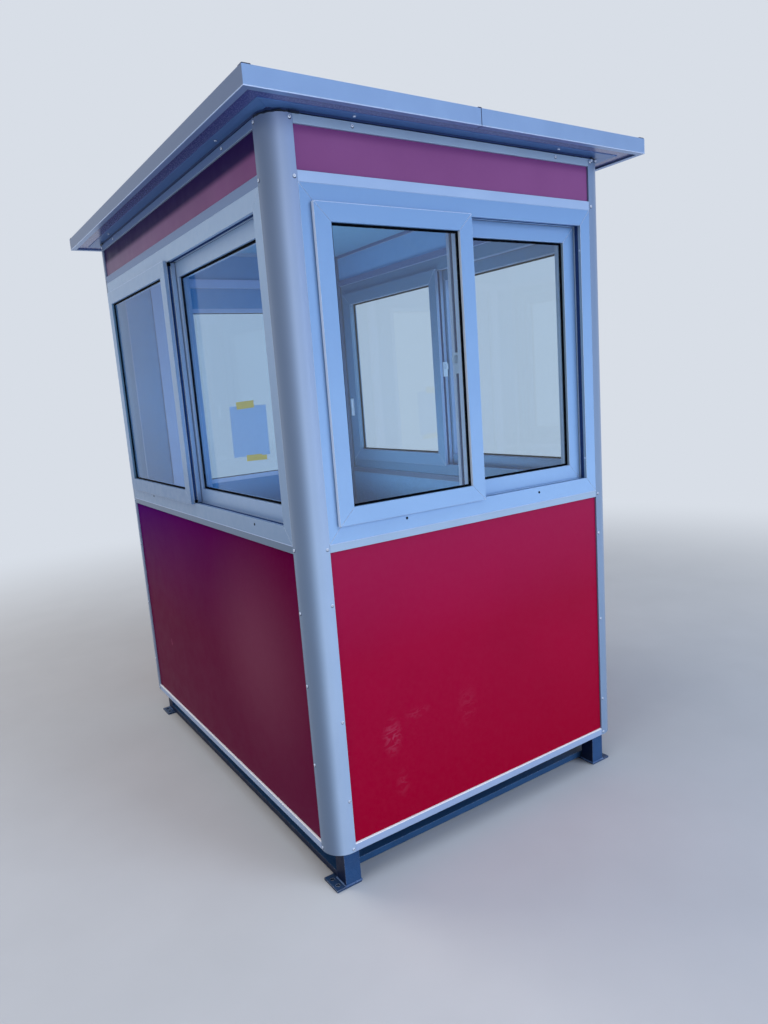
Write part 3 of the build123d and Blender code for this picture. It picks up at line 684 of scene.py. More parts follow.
def join(bm, part, place):
    """Adds a finished part to a larger mesh at its place, faces outwards."""
    bmesh.ops.transform(part, matrix=place, verts=part.verts)
    bmesh.ops.recalc_face_normals(part, faces=part.faces[:])
    carrier = bpy.data.meshes.new("carrier")
    part.to_mesh(carrier)
    part.free()
    bm.from_mesh(carrier)
    bpy.data.meshes.remove(carrier)


def make_piece(name, bm, place, finish_names, body="booth", stands_for=()):
    """Turns a mesh in millimetres into a piece of the booth."""
    bmesh.ops.transform(bm, matrix=place, verts=bm.verts)
    mesh = bpy.data.meshes.new(name)
    bm.to_mesh(mesh)
    bm.free()
    mesh.shade_smooth()
    mesh.set_sharp_from_angle(angle=math.radians(40))
    for finish_name in finish_names:
        mesh.materials.append(finishes[finish_name])
    piece = bpy.data.objects.new(name, mesh)
    scene.collection.objects.link(piece)
    flat = piece.modifiers.new("flat faces", "WEIGHTED_NORMAL")
    flat.keep_sharp = True
    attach(piece, body)
    for node in stands_for:
        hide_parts(node)
    print(name, len(mesh.polygons), "faces")
    return piece


# %% [markdown]
# ## Mitred rings
# A window frame, a sash, a gasket and the roof edge are all four bars round a rectangle. Each bar is
# sawn along the line from the outer corner to the inner one, so bars of unlike width still meet.

# %% Mitred rings
UP_WALL = (Vector((1, 0, 0)), Vector((0, 0, 1)), Vector((0, 1, 0)))
IN_PLAN = (Vector((1, 0, 0)), Vector((0, 1, 0)), Vector((0, 0, 1)))
MEMBERS = ("bottom", "right", "top", "left")


def member_place(index, first, second, axes):
    """Where a ring's bar goes: along its side, inward, and into depth."""
    across, up, depth = axes
    starts = ((first[0], second[0]), (first[1], second[0]), (first[1], second[1]), (first[0], second[1]))
    runs = ((across, up), (up, -across), (-across, -up), (-up, across))
    start = across * starts[index][0] + up * starts[index][1]
    run, inward = runs[index]
    return Matrix.Translation(start) @ Matrix((run, inward, depth)).transposed().to_4x4()


def mitres(length, own, before, after, gap=0.0):
    """The saw cuts at both ends of a bar, between the bars before and after it, from their widths."""
    return (
        (Vector((gap, 0, 0)), Vector((-own, before, 0))),
        (Vector((length - gap, 0, 0)), Vector((own, after, 0))),
    )


def all_round(value):
    """The same width or outline for every member of a ring."""
    return {member: value for member in MEMBERS}


def add_ring(bm, first, second, outlines, widths, axes=UP_WALL, rounding=0.8, joint=0.5, gap=0.0):
    """Four mitred bars round a rectangle, each with its own outline and width."""
    for index, member in enumerate(MEMBERS):
        length = (first[1] - first[0]) if index % 2 == 0 else (second[1] - second[0])
        own, before, after = (widths[MEMBERS[(index + step) % 4]] for step in (0, -1, 1))
        part = bar(outlines[member], length, mitres(length, own, before, after, gap), rounding, joint)
        join(bm, part, member_place(index, first, second, axes))


def strip_outline(width, d0, d1, start=0.0):
    """A plain rectangle: inward from start to width, from depth d0 to d1."""
    return ((start, d0), (start, d1), (width, d1), (width, d0))


print("ring tools ready")

# %% [markdown]
# ## Window frames
# The real frame is a hollow plastic section with a face, an outer return, a track for the sashes and
# an inner return. Only its outside shows, so each member is a solid outline, extruded along its
# side and cut to a mitre at both ends. The jambs are narrower than the head and sill.

# %% Window frames
MITRE_GROOVE, MITRE_GAP = 0.8, 0.2


def window_span(side):
    return POST_REACH, LENGTH[side] - POST_REACH


def window_opening(side):
    u0, u1 = window_span(side)
    return u0 + STILE, u1 - STILE, SILL_TOP + RAIL, MID_LOW - RAIL


def frame_outline(width):
    near, far, deep = TRACK
    return ((0, 0), (0, FRAME_DEPTH), (width, FRAME_DEPTH), (width, far), (width - deep, far),
            (width - deep, near), (width, near), (width, 0))


frame_widths = {"bottom": RAIL, "right": STILE, "top": RAIL, "left": STILE}
frame_outlines = {member: frame_outline(width) for member, width in frame_widths.items()}
for side in WINDOW_SIDES:
    bm = bmesh.new()
    add_ring(bm, window_span(side), (SILL_TOP, MID_LOW), frame_outlines, frame_widths, rounding=0.9,
             joint=MITRE_GROOVE, gap=MITRE_GAP)
    make_piece("window_surround_" + side, bm, on_wall(side), [FRAME_PLASTIC_OF[side]],
               stands_for=["window_frame_" + side])

# %% [markdown]
# ## Sashes
# The left sash, seen from outside, stands proud of the frame and laps over it. The right one slides
# behind it and laps over the frame on the room side. Each is a face ring and a body ring, so that
# each ring has its own square corners, and the meeting bars have a groove for a brush.

# %% Sash sizes
def sash_span(side, which):
    w0, w1, _, _ = window_opening(side)
    middle = (w0 + w1) / 2
    if which == "outer":
        return w0 + CLEARANCE, middle + OVERLAP
    return middle - OVERLAP, w1 - CLEARANCE


def sash_body_box(side, which):
    _, _, h0, h1 = window_opening(side)
    return sash_span(side, which), (h0, h1 - CLEARANCE)


def sash_face_box(side, which):
    w0, w1, h0, h1 = window_opening(side)
    u0, u1 = sash_span(side, which)
    if which == "outer":
        u0 = w0 - SIDE_LAP
    else:
        u1 = w1 + SIDE_LAP
    return (u0, u1), (h0 - END_LAP, h1 + END_LAP)


def sash_glass_box(side, which):
    (u0, u1), (z0, z1) = sash_face_box(side, which) if which == "outer" else sash_body_box(side, which)
    return (u0 + SASH_FACE, u1 - SASH_FACE), (z0 + SASH_FACE, z1 - SASH_FACE)


for which in ("outer", "inner"):
    print(which, "glass on the front", sash_glass_box("front", which))


# %% Sash bars
def ring_between(bm, outer, inner, d0, d1, notched=None, notch=None, rounding=0.9):
    """A mitred ring between two rectangles, with a brush groove in one upright."""
    widths = {
        "bottom": inner[1][0] - outer[1][0], "top": outer[1][1] - inner[1][1],
        "left": inner[0][0] - outer[0][0], "right": outer[0][1] - inner[0][1],
    }
    outlines = {member: strip_outline(width, d0, d1) for member, width in widths.items()}
    if notched:
        n0, n1 = notch
        own = widths[notched]
        outlines[notched] = ((0, d0), (0, n0), (BRUSH_DEPTH, n0), (BRUSH_DEPTH, n1), (0, n1), (0, d1),
                             (own, d1), (own, d0))
    add_ring(bm, outer[0], outer[1], outlines, widths, rounding=rounding, joint=MITRE_GROOVE, gap=MITRE_GAP)


SASH_EASE = 1.8


def add_sash(bm, side, which):
    face, body, glass = sash_face_box(side, which), sash_body_box(side, which), sash_glass_box(side, which)
    lip = SASH_PROUD - CLEARANCE
    if which == "outer":
        front = OUTER_FACE
        notch = (front + BRUSH_SETBACK, front + BRUSH_SETBACK + BRUSH_WIDTH)
        ring_between(bm, face, glass, front, front + lip, rounding=SASH_EASE)
        ring_between(bm, body, glass, front + lip, front + SASH_THICKNESS, "right", notch)
    else:
        front, back = INNER_FACE, INNER_FACE + SASH_THICKNESS
        notch = (back - BRUSH_SETBACK - BRUSH_WIDTH, back - BRUSH_SETBACK)
        ring_between(bm, face, glass, back - lip, back)
        ring_between(bm, body, glass, front, back - lip, "left", notch)


for side in WINDOW_SIDES:
    bm = bmesh.new()
    for which in ("outer", "inner"):
        add_sash(bm, side, which)
    make_piece("sash_bars_" + side, bm, on_wall(side), [PLASTIC_OF[side]],
               stands_for=["sashes_" + side])

# %% [markdown]
# ## Gaskets and brushes
# A black rubber gasket holds each pane, inside and out, and shows as a thin dark line round the glass.
# A strip of pile brush in the meeting bars keeps the draught out.

# %% Gaskets and brushes
GASKET, GASKET_RISE = 7.0, 2.0
# how far the tufts stay below the groove's mouth, and clear of its sides
BRUSH_SUNK, BRUSH_SIDE = 2.5, 3.0


def glass_front(which):
    return (OUTER_FACE if which == "outer" else INNER_FACE) + GLASS_SETBACK


def add_gaskets(bm, box, front, back):
    """A rubber ring on both sides of a pane."""
    for d0, d1 in ((front - GASKET_RISE, front + 0.2), (back - 0.2, back + GASKET_RISE)):
        outlines = all_round(strip_outline(GASKET, d0, d1))
        add_ring(bm, box[0], box[1], outlines, all_round(GASKET), joint=0.0)


for side in WINDOW_SIDES:
    bm = bmesh.new()
    for which in ("outer", "inner"):
        front = glass_front(which)
        add_gaskets(bm, sash_glass_box(side, which), front, front + GLASS_THICKNESS)
    make_piece("gaskets_" + side, bm, on_wall(side), ["glazing_rubber"])
    bm = bmesh.new()
    for which in ("outer", "inner"):
        u0, u1 = sash_span(side, which)
        _, (z0, z1) = sash_body_box(side, which)
        if which == "outer":
            start = OUTER_FACE + BRUSH_SETBACK
            tuft = (u1 - BRUSH_DEPTH + 0.2, u1 - BRUSH_SUNK)
        else:
            start = INNER_FACE + SASH_THICKNESS - BRUSH_SETBACK - BRUSH_WIDTH
            tuft = (u0 + BRUSH_SUNK, u0 + BRUSH_DEPTH - 0.2)
        add_block(bm, tuft, (start + BRUSH_SIDE, start + BRUSH_WIDTH - BRUSH_SIDE), (z0 + 2, z1 - 2), 0.8)
    make_piece("brushes_" + side, bm, on_wall(side), ["brush_pile"])

# %% Pile strips in the sash track, dark blue as painted shade
PILE = 5.0
near, far, deep = TRACK
pile_outline = all_round(strip_outline(PILE, near + 1, far - 1))
for side in WINDOW_SIDES:
    w0, w1, h0, h1 = window_opening(side)
    bm = bmesh.new()
    out = deep - 0.5
    add_ring(bm, (w0 - out, w1 + out), (h0 - out, h1 + out), pile_outline, all_round(PILE), joint=0.0)
    make_piece("track_shade_pile_" + side, bm, on_wall(side), ["brush_pile"])

# %% Caps at the ends of the meeting slot
for side in WINDOW_SIDES:
    _, _, h0, h1 = window_opening(side)
    (_, u1), _ = sash_face_box(side, "outer")
    bm = bmesh.new()
    for z0, z1 in ((h0 + 0.5, h0 + 11), (h1 - 14, h1 - 2)):
        add_block(bm, (u1 - 7, u1 + 7), (1.5, 12), (z0, z1), 0.8)
    make_piece("slot_caps_" + side, bm, on_wall(side), ["glazing_rubber"])

# %% [markdown]
# ## Small window parts
# Two small drain holes show in each sill as dark discs, painted for the shade inside them, and two
# screws in the return of each right jamb. A screw is a pan head with a cross recess, and a dark disc
# below it is its painted shadow.

# %% Screws and drain holes
HEAD, DARK = 0, 1


def add_screw(bm, centre, aim, radius, rise, turn=0.0):
    """A pan head on a face that looks along aim, turned about its own axis."""
    square = Vector(aim).to_track_quat("Z", "Y").to_matrix().to_4x4()
    place = Matrix.Translation(centre) @ square @ Matrix.Rotation(turn, 4, "Z")
    head = add_disc(bm, place @ Matrix.Translation((0, 0, rise / 2)), radius, rise, 12, HEAD)
    # a dark disc, offset below the head, is its painted shadow
    shadow_offset = Matrix.Translation((0.6, 0, -1.5 * abs(aim[1])))
    add_disc(bm, shadow_offset @ place @ Matrix.Translation((0, 0, 0.25)), radius * 1.05, 0.5, 14, DARK, radius * 1.1)
    top = [e for e in {e for v in head for e in v.link_edges}
           if all((v.co - Vector(centre)).dot(Vector(aim)) > rise * 0.9 for v in e.verts)]
    bmesh.ops.bevel(bm, geom=top, offset=rise * 0.7, affect="EDGES", **ROUND)
    cross = Matrix.LocRotScale(Vector((0, 0, rise - 0.1)), None, Vector((radius * 0.8, radius * 0.16, 0.3)))
    for quarter in (0, 1):
        arm = bmesh.ops.create_cube(bm, size=1.0)["verts"]
        turned = place @ Matrix.Rotation(quarter * math.pi / 2, 4, "Z") @ cross
        bmesh.ops.transform(bm, matrix=turned, verts=arm)
        paint(arm, DARK)


SCREW_FINISHES = ["screw_zinc", "screw_recess_and_shadow"]
OUTWARD = (0, -1, 0)
DRAIN_AT = {"front": (377, 978), "left": (420, 1570), "right": (420, 1510)}
DRAIN_HEIGHT, DRAIN_RADIUS = 1205, 4.5
JAMB_SCREWS, JAMB_SCREW_IN = (1302, 2071), 6.5
SMALL_HEAD, SMALL_RISE = 3.6, 1.2
INTO_WALL = Matrix.Rotation(math.pi / 2, 4, "X")
for side in WINDOW_SIDES:
    bm = bmesh.new()
    for u in DRAIN_AT[side]:
        add_disc(bm, Matrix.Translation((u, -0.3, DRAIN_HEIGHT)) @ INTO_WALL, DRAIN_RADIUS, 0.8, 16)
    make_piece("drain_holes_" + side, bm, on_wall(side), ["glazing_rubber"])
    bm = bmesh.new()
    _, w1, _, _ = window_opening(side)
    for z in JAMB_SCREWS:
        add_screw(bm, (w1, JAMB_SCREW_IN, z), (-1, 0, 0), SMALL_HEAD, SMALL_RISE, turn=z)
    make_piece("jamb_screws_" + side, bm, on_wall(side), SCREW_FINISHES)

# %% [markdown]
# ## Corner posts
# One extrusion does the corner: a quarter-round nose with hooked flanges that trap the wall from both
# faces. Its outline starts square, and one vertex is rounded, as a die maker would draw it.

# %% Corner posts
POST_SKIN = 3.0


def post_outline():
    r, w, s, t = POST_REACH, WALL, PANEL_SETBACK, POST_SKIN
    half = [(r, 0), (r, s), (r - t, s), (r - t, t), (w, t), (w, w - t), (r - t, w - t), (r - t, w - s),
            (r, w - s), (r, w)]
    return [(0, 0)] + half + [(w, w)] + [(y, x) for x, y in reversed(half)]


def post_bar():
    made = bmesh.new()
    verts = [made.verts.new((x, y, 0)) for x, y in post_outline()]
    made.faces.new(verts)
    tips = [v for v in verts if max(v.co.x, v.co.y) == POST_REACH]
    nose = verts[0]
    bmesh.ops.bevel(made, geom=tips, offset=0.8, affect="VERTICES", **ROUND)
    bmesh.ops.bevel(made, geom=[nose], offset=NOSE_RADIUS, affect="VERTICES", **{**ROUND, "segments": 24})
    grown = bmesh.ops.extrude_face_region(made, geom=made.faces[:])["geom"]
    far = [v for v in grown if isinstance(v, bmesh.types.BMVert)]
    bmesh.ops.translate(made, vec=(0, 0, WALL_TOP - BASE_TOP), verts=far)
    return made


bm = bmesh.new()
for side in SIDES:
    x, y, turn = CORNER_OF[side]
    place = Matrix.Translation((x, y, BASE_TOP)) @ Matrix.Rotation(math.radians(turn), 4, "Z")
    join(bm, post_bar(), place)
make_piece("post_extrusions", bm, TO_METRES, ["silver_post_coat"],
           stands_for=["corner_posts"])

# %% [markdown]
# ## Screws along the posts and rails
# Self-drilling screws with pan heads hold the posts to the walls. They sit on the flanges at each
# rail and at uneven steps between the rails. Two more on each wall hold the top rail, and two the
# soffit in front of it. The front wall has a close pair near the right end of its top rail.

# %% Flange and rail screws
FLANGE_SCREW_AT = 74.5
SCREW_HEAD, SCREW_RISE = 5.0, 3.0
TOP_SCREW_Z = WALL_TOP - 11
AT_RAILS = (BASE_TOP + 12, SILL_LOW + 13, MID_LOW + 14, TOP_SCREW_Z)
BETWEEN = {
    "front": ((321, 594, 979), (297, 642, 998)),
    "left": ((310, 620, 930), (444, 714, 954)),
    "right": ((444, 714, 954), (310, 620, 930)),
    "back": ((300, 630, 960), (300, 630, 960)),
}
RAIL_SCREWS = {"front": (278, 1119), "left": (287, 1617), "right": (313, 1643), "back": (253, 1094)}
EAVES_SCREW_OUT = 16
LOOSE_PAIR = (1306, 1328)
chance = random.Random(7)


def add_wall_screw(bm, centre, aim=OUTWARD):
    add_screw(bm, centre, aim, SCREW_HEAD, SCREW_RISE, turn=chance.uniform(0, 3))


for side in SIDES:
    bm = bmesh.new()
    for u, between in zip((FLANGE_SCREW_AT, LENGTH[side] - FLANGE_SCREW_AT), BETWEEN[side]):
        for z in AT_RAILS + between:
            add_wall_screw(bm, (u, 0, z))
    for u in RAIL_SCREWS[side]:
        add_wall_screw(bm, (u, 0, TOP_SCREW_Z))
        add_wall_screw(bm, (u, -EAVES_SCREW_OUT, SOFFIT - 2), (0, 0, -1))
    if side == "front":
        for u in LOOSE_PAIR:
            add_wall_screw(bm, (u, 0, WALL_TOP - 5))
    make_piece("wall_screws_" + side, bm, on_wall(side), SCREW_FINISHES)

# %% [markdown]
# ## Ledges and edges
# The bottom rail stands proud of the sheet above it, and a bright highlight is painted along its
# ledge on three sides. The top edge of each outer sash and the lip of each sill carry thin pale strips,
# painted highlights as well.

# %% Bottom ledges, sash edges and sill lips
ledge_back = PANEL_SETBACK - 0.1
ledge_outline = ((0.2, RAIL_TOP - 2.0), (0.2, RAIL_TOP + 0.6), (2.4, RAIL_TOP + 2.2),
                 (ledge_back, RAIL_TOP + 3.2), (ledge_back, RAIL_TOP - 2.0))
bm = bmesh.new()
for side in WINDOW_SIDES:
    run = bar(ledge_outline, LENGTH[side] - 2 * POST_REACH, rounding=0.4)
    join(bm, run, on_wall(side) @ Matrix.Translation((POST_REACH, 0, 0)))
make_piece("rail_ledges", bm, Matrix.Identity(4), ["silver_ledge_highlight"])

EDGE_INSET, LIP_INSET = 3.0, 0.5
sash_edges, sill_lips = bmesh.new(), bmesh.new()
for side in WINDOW_SIDES:
    (u0, u1), (_, top) = sash_face_box(side, "outer")
    edge, lip = bmesh.new(), bmesh.new()
    add_block(edge, (u0 + EDGE_INSET, u1 - EDGE_INSET), (OUTER_FACE - 0.2, OUTER_FACE + 1.6),
              (top - 1.8, top + 0.2), 0.6)
    join(sash_edges, edge, on_wall(side))
    u0, u1 = window_span(side)
    add_block(lip, (u0 + LIP_INSET, u1 - LIP_INSET), (-0.7, 1.0), (SILL_TOP - 1.6, SILL_TOP + 0.6), 0.5)
    join(sill_lips, lip, on_wall(side))
make_piece("sash_top_edges", sash_edges, Matrix.Identity(4), ["silver_highlight_fold"])
make_piece("sill_lips", sill_lips, Matrix.Identity(4), ["silver_highlight_fold"])

# %% [markdown]
# ## Welds at the feet
# Each leg is welded to its plate with a bead all round, left rough and painted over. The paint on it
# has worn through in patches.

# %% Weld beads
LEG_X, LEG_Y = (low("legs", X) + WIDTH / 2, low("legs", Y) + DEPTH / 2)
LEG = 60.0
PLATE_TOP = low("legs", Z)
WELD = 3.2
QUADRANTS = ((-1, -1), (1, -1), (1, 1), (-1, 1))
bm = bmesh.new()
for sx, sy in QUADRANTS:
    x0, x1 = sorted((sx * (WIDTH / 2 - LEG_X), sx * (WIDTH / 2 - LEG_X - LEG)))
    y0, y1 = sorted((sy * (DEPTH / 2 - LEG_Y), sy * (DEPTH / 2 - LEG_Y - LEG)))
    for index in range(4):
        place = member_place(index, (x0, x1), (y0, y1), IN_PLAN)
        bead = bmesh.new()
        add_disc(bead, Matrix.Rotation(math.pi / 2, 4, "Y"), WELD, LEG + 3, 10)
        bmesh.ops.bisect_plane(bead, geom=bead.verts[:] + bead.edges[:] + bead.faces[:],
                               plane_co=(0, 0, 0), plane_no=(1, 0, 0))
        around = [e for e in bead.edges if abs(e.verts[0].co.x - e.verts[1].co.x) > 5]
        bmesh.ops.subdivide_edges(bead, edges=around, cuts=9)
        for vert in bead.verts:
            ripple = 1 + 0.5 * noise.noise(Vector((vert.co.x * 0.16, index * 7.0, sx * 3.0 + sy)))
            vert.co.y *= ripple
            vert.co.z *= ripple
        join(bm, bead, place @ Matrix.Translation((LEG / 2, 0, PLATE_TOP)))
make_piece("foot_welds", bm, TO_METRES, ["weld_scale"])

# %% [markdown]
# ## Roof edge
# The fascia is folded coil-coated sheet with a small hem at the bottom. Two lengths butt in the middle
# of each short side. Dark ends of the roofing rubber show at the joint and at the corners.

# %% Fascia
FOLD = 3.2
FASCIA_RETURN = 22.0
fascia_outline = (
    (0.7, FASCIA_LOW + FOLD), (0.7, FASCIA_TOP), (2.0, FASCIA_TOP), (2.0, FASCIA_LOW + FOLD))
return_outline = (
    (2.4, FASCIA_LOW), (2.4, SOFFIT), (FASCIA_RETURN, SOFFIT), (FASCIA_RETURN, FASCIA_LOW))
fold_outline = (
    (0.0, FASCIA_LOW), (0.0, FASCIA_LOW + FOLD), (2.4, FASCIA_LOW + FOLD), (2.4, FASCIA_LOW))
# the fold's bar takes the second finish, its painted highlight
FASCIA_PARTS = ((fascia_outline, 0.4, 0), (return_outline, 0.4, 0), (fold_outline, 0.9, 1))
roof_x = (-WIDTH / 2 - OVERHANG, WIDTH / 2 + OVERHANG)
roof_y = (-DEPTH / 2 - OVERHANG, DEPTH / 2 + OVERHANG)
JOINT_GAP, JOINT_OFF = 2.6, 2.0
bm = bmesh.new()
for index in range(4):
    length = (roof_x[1] - roof_x[0]) if index % 2 == 0 else (roof_y[1] - roof_y[0])
    ends = mitres(length, FASCIA_RETURN, FASCIA_RETURN, FASCIA_RETURN)
    place = member_place(index, roof_x, roof_y, IN_PLAN)
    joint_at = length / 2 + JOINT_OFF
    if index % 2:
        lengths = (ends,)
    else:
        lengths = tuple(
            (end, (Vector((joint_at + keep * JOINT_GAP / 2, 0, 0)), Vector((-keep, 0, 0))))
            for keep, end in ((-1, ends[0]), (1, ends[1])))
    for cuts in lengths:
        for outline, rounding, slot in FASCIA_PARTS:
            join(bm, bar(outline, length, cuts, rounding, 0.3, slot), place)
make_piece("fascia_sheets", bm, TO_METRES, ["silver_coil_coat", "silver_highlight_fold"],
           stands_for=["fascia"])

# %% Rubber ends at the joints and corners
bm = bmesh.new()
middle = (roof_x[1] - roof_x[0]) / 2 + JOINT_OFF
for index in range(4):
    lap_end = bmesh.new()
    if index % 2 == 0:
        add_block(lap_end, (middle - 12, middle + 2), (0.6, 16), (FASCIA_TOP - 1.5, FASCIA_TOP + 2.5), 1.0)
        add_block(lap_end, (middle - 5, middle + 5), (1.9, 3.4), (FASCIA_LOW + 0.5, FASCIA_TOP - 1))
    add_block(lap_end, (2.0, 28), (2.0, 28), (FASCIA_TOP - 0.5, FASCIA_TOP + 3.5), 1.6)
    join(bm, lap_end, member_place(index, roof_x, roof_y, IN_PLAN))
make_piece("rubber_laps", bm, TO_METRES, ["lap_rubber"])

# %% [markdown]
# ## Under the eaves
# A filler with rounded corners closes the gap between walls and soffit, painted dark navy for the
# shade in that gap, and a thin trim strip frames it. A bead of dark sealant runs over each post. It
# follows the nose's curve, so it is a circle spun about the nose's axis, with lumps where the gun stopped.

# %% Filler and trim strip
FILLER_INSET, FILLER_LINE = 1.5, 3.2
filler_x, filler_y, filler_z = WIDTH / 2 - FILLER_INSET, DEPTH / 2 - FILLER_INSET, WALL_TOP + FILLER_LINE
bm = bmesh.new()
corners = [bm.verts.new((x * filler_x, y * filler_y, filler_z)) for x, y in QUADRANTS]
bm.faces.new(corners)
bmesh.ops.bevel(bm, geom=corners, offset=NOSE_RADIUS - FILLER_INSET, affect="VERTICES",
                **{**ROUND, "segments": 24})
raised = bmesh.ops.extrude_face_region(bm, geom=bm.faces[:])["geom"]
bmesh.ops.translate(bm, vec=(0, 0, SOFFIT - filler_z),
                    verts=[v for v in raised if isinstance(v, bmesh.types.BMVert)])
bmesh.ops.recalc_face_normals(bm, faces=bm.faces[:])
make_piece("eaves_filler", bm, TO_METRES, ["gap_shade_coat"])

STRIP_OUT, STRIP_IN, STRIP_DROP = 36.0, 14.0, 2.0
strip_x = (-WIDTH / 2 - STRIP_OUT, WIDTH / 2 + STRIP_OUT)
strip_y = (-DEPTH / 2 - STRIP_OUT, DEPTH / 2 + STRIP_OUT)
strip_width = STRIP_OUT + STRIP_IN
bm = bmesh.new()
add_ring(bm, strip_x, strip_y, all_round(strip_outline(strip_width, SOFFIT - STRIP_DROP, SOFFIT + 0.2)),
         all_round(strip_width), IN_PLAN, rounding=0.6, gap=0.3)
make_piece("eaves_strips", bm, TO_METRES, ["silver_strip_coat"])

# %% Sealant beads
def add_bead(bm, centre, radius, thick, z, start, sweep, steps=36):
    """A round bead on an arc in plan, spun from a small circle."""
    ring = bmesh.ops.create_circle(bm, cap_ends=False, segments=8, radius=thick)["verts"]
    upright = Matrix.Rotation(math.pi / 2, 4, "X")
    place = Matrix.Translation((centre[0], centre[1], z)) @ Matrix.Rotation(start, 4, "Z")
    bmesh.ops.transform(bm, matrix=place @ Matrix.Translation((radius, 0, 0)) @ upright, verts=ring)
    edges = list({e for v in ring for e in v.link_edges})
    axis = Vector((centre[0], centre[1], z))
    bmesh.ops.spin(bm, geom=ring + edges, cent=axis, axis=(0, 0, 1), angle=sweep, steps=steps)


BEAD, BEAD_IN, BEAD_UP = 3.6, 1.6, 2.2
TAIL_LENGTH = 30.0
tail_outline = ((-7, WALL_TOP + 0.5), (1, WALL_TOP - 1.5), (1, WALL_TOP + 4), (-7, WALL_TOP + 4))
bm = bmesh.new()
for side in SIDES:
    x, y, turn = CORNER_OF[side]
    bead = bmesh.new()
    add_bead(bead, (NOSE_RADIUS, NOSE_RADIUS), NOSE_RADIUS - BEAD_IN, BEAD, WALL_TOP + BEAD_UP,
             math.pi, math.pi / 2)
    bmesh.ops.holes_fill(bead, edges=[e for e in bead.edges if e.is_boundary], sides=0)
    for vert in bead.verts:
        lump = noise.noise(vert.co * 0.07 + Vector((x, y, 0)))
        vert.co.z += lump * 5.0
        away = Vector((vert.co.x - NOSE_RADIUS, vert.co.y - NOSE_RADIUS, 0)).normalized()
        vert.co += away * lump * 2.2
    # the gun was drawn off along the wall, which left a short tail
    tail = bar(tail_outline, TAIL_LENGTH, rounding=1.2)
    join(bead, tail, Matrix.Translation((NOSE_RADIUS + 2, 0, 0)))
    join(bm, bead, Matrix.Translation((x, y, 0)) @ Matrix.Rotation(math.radians(turn), 4, "Z"))
make_piece("post_top_sealant", bm, TO_METRES, ["sealant"])

# %% [markdown]
# ## Finishes on the solid parts
# Parts whose solid shape is right keep it. They are loose triangles, so a Weld modifier closes them
# up and a Bevel eases their arrises, which is what catches the light on real metal.

# %% Finishes on the solids
KEPT = {
    "legs": ("base_enamel", 2.0), "foot_plates": ("foot_enamel", 1.0), "base_ring": ("beam_enamel", 2.0),
    "floor_joists": ("base_enamel", 1.0), "floor_deck": ("vinyl_floor", 0.5),
    "bottom_rails": ("silver_powder_coat", 0.8), "sill_rails": ("silver_sill_rail_coat", 0.8),
    "mid_rails": ("silver_mid_rail_coat", 0.8), "top_rails": ("silver_top_rail_coat", 0.8),
    "upper_panels": ("plum_coil_coat", 0.0), "back_side_panels": ("crimson_coil_coat", 0.0),
    "lower_panel_front": ("crimson_scuffed_coat", 0.0), "lower_panel_left": ("crimson_shade_coat", 0.0),
    "lower_panel_right": ("crimson_coil_coat", 0.0),
    "liner_back": ("back_lining_shade_paint", 0.0), "liner_front": ("lining_paint", 0.0),
    "liner_left": ("lining_paint", 0.0), "liner_right": ("lining_paint", 0.0),
    # the reveal ring takes the dark navy painted for the shade in the gap
    "ceiling": ("ceiling_shade_paint", 0.0), "reveal_ring": ("gap_shade_coat", 0.0),
    "soffit": ("silver_eaves_coat", 0.0), "roof_panel": ("roof_core", 0.0),
    "roof_membrane": ("roof_rubber", 1.0),
    "window_glass_front": ("float_glass", 0.0), "window_glass_left": ("filmed_glass", 0.0),
    "window_glass_right": ("float_glass", 0.0), "window_latches": ("latch_plastic", 1.0),
    "door_jambs": ("silver_powder_coat", 1.0), "door_head": ("silver_powder_coat", 1.0),
    "door_threshold": ("stainless_steel", 1.0), "door_leaf": ("crimson_coil_coat", 1.2),
    "door_inner_skin": ("door_inner_paint", 0.6), "door_glass": ("float_glass", 0.0),
    "door_beads": ("bead_plastic", 1.2), "door_handle": ("stainless_steel", 0.8),
    "frame_hinges": ("stainless_steel", 0.3), "door_hinges": ("stainless_steel", 0.3),
}
ARRIS_ANGLE = math.radians(40)
for node, (finish_name, edge) in KEPT.items():
    solid = nodes[node]
    solid.data.materials.clear()
    solid.data.materials.append(finishes[finish_name])
    if edge:
        weld = solid.modifiers.new("weld", "WELD")
        weld.merge_threshold = 0.00001
        soft = solid.modifiers.new("eased edges", "BEVEL")
        soft.width = edge * MM
        soft.segments = 2
        soft.limit_method = "ANGLE"
        soft.angle_limit = ARRIS_ANGLE
        soft.use_clamp_overlap = True
        flat = solid.modifiers.new("flat faces", "WEIGHTED_NORMAL")
        flat.keep_sharp = True
print(len(KEPT), "solids finished")

# %% [markdown]
# ## Door fittings
# A rubber seal sits on the door stop, thin gaskets hold its pane, and the hinges, lever plates and
# lock are fixed with screws. The lock is a round-headed cylinder with a slot for a key.

# %% Door seal and gaskets
DOOR_THICKNESS = 45.0
DOOR_GAP, STOP_WIDTH = 5.0, 12.0
GLAZING_BEAD, DOOR_GASKET = 22.0, 3.0
door_u = (WIDTH / 2 - high("door_leaf", X), WIDTH / 2 - low("door_leaf", X))
door_z = (low("door_leaf", Z), high("door_leaf", Z))
seal_width = STOP_WIDTH - 2
seal_outline = strip_outline(seal_width, DOOR_THICKNESS + 0.4, DOOR_THICKNESS + DOOR_GAP - 0.1)
bm = bmesh.new()
add_ring(bm, (door_u[0] - DOOR_GAP + 1, door_u[1] + DOOR_GAP + 1),
         (door_z[0] - DOOR_GAP, door_z[1] + DOOR_GAP - 1), all_round(seal_outline), all_round(seal_width),
         joint=0.0)
make_piece("door_seal", bm, on_wall("back"), ["glazing_rubber"])
pane_u = (WIDTH / 2 - high("door_glass", X), WIDTH / 2 - low("door_glass", X))
pane_z = (low("door_glass", Z), high("door_glass", Z))
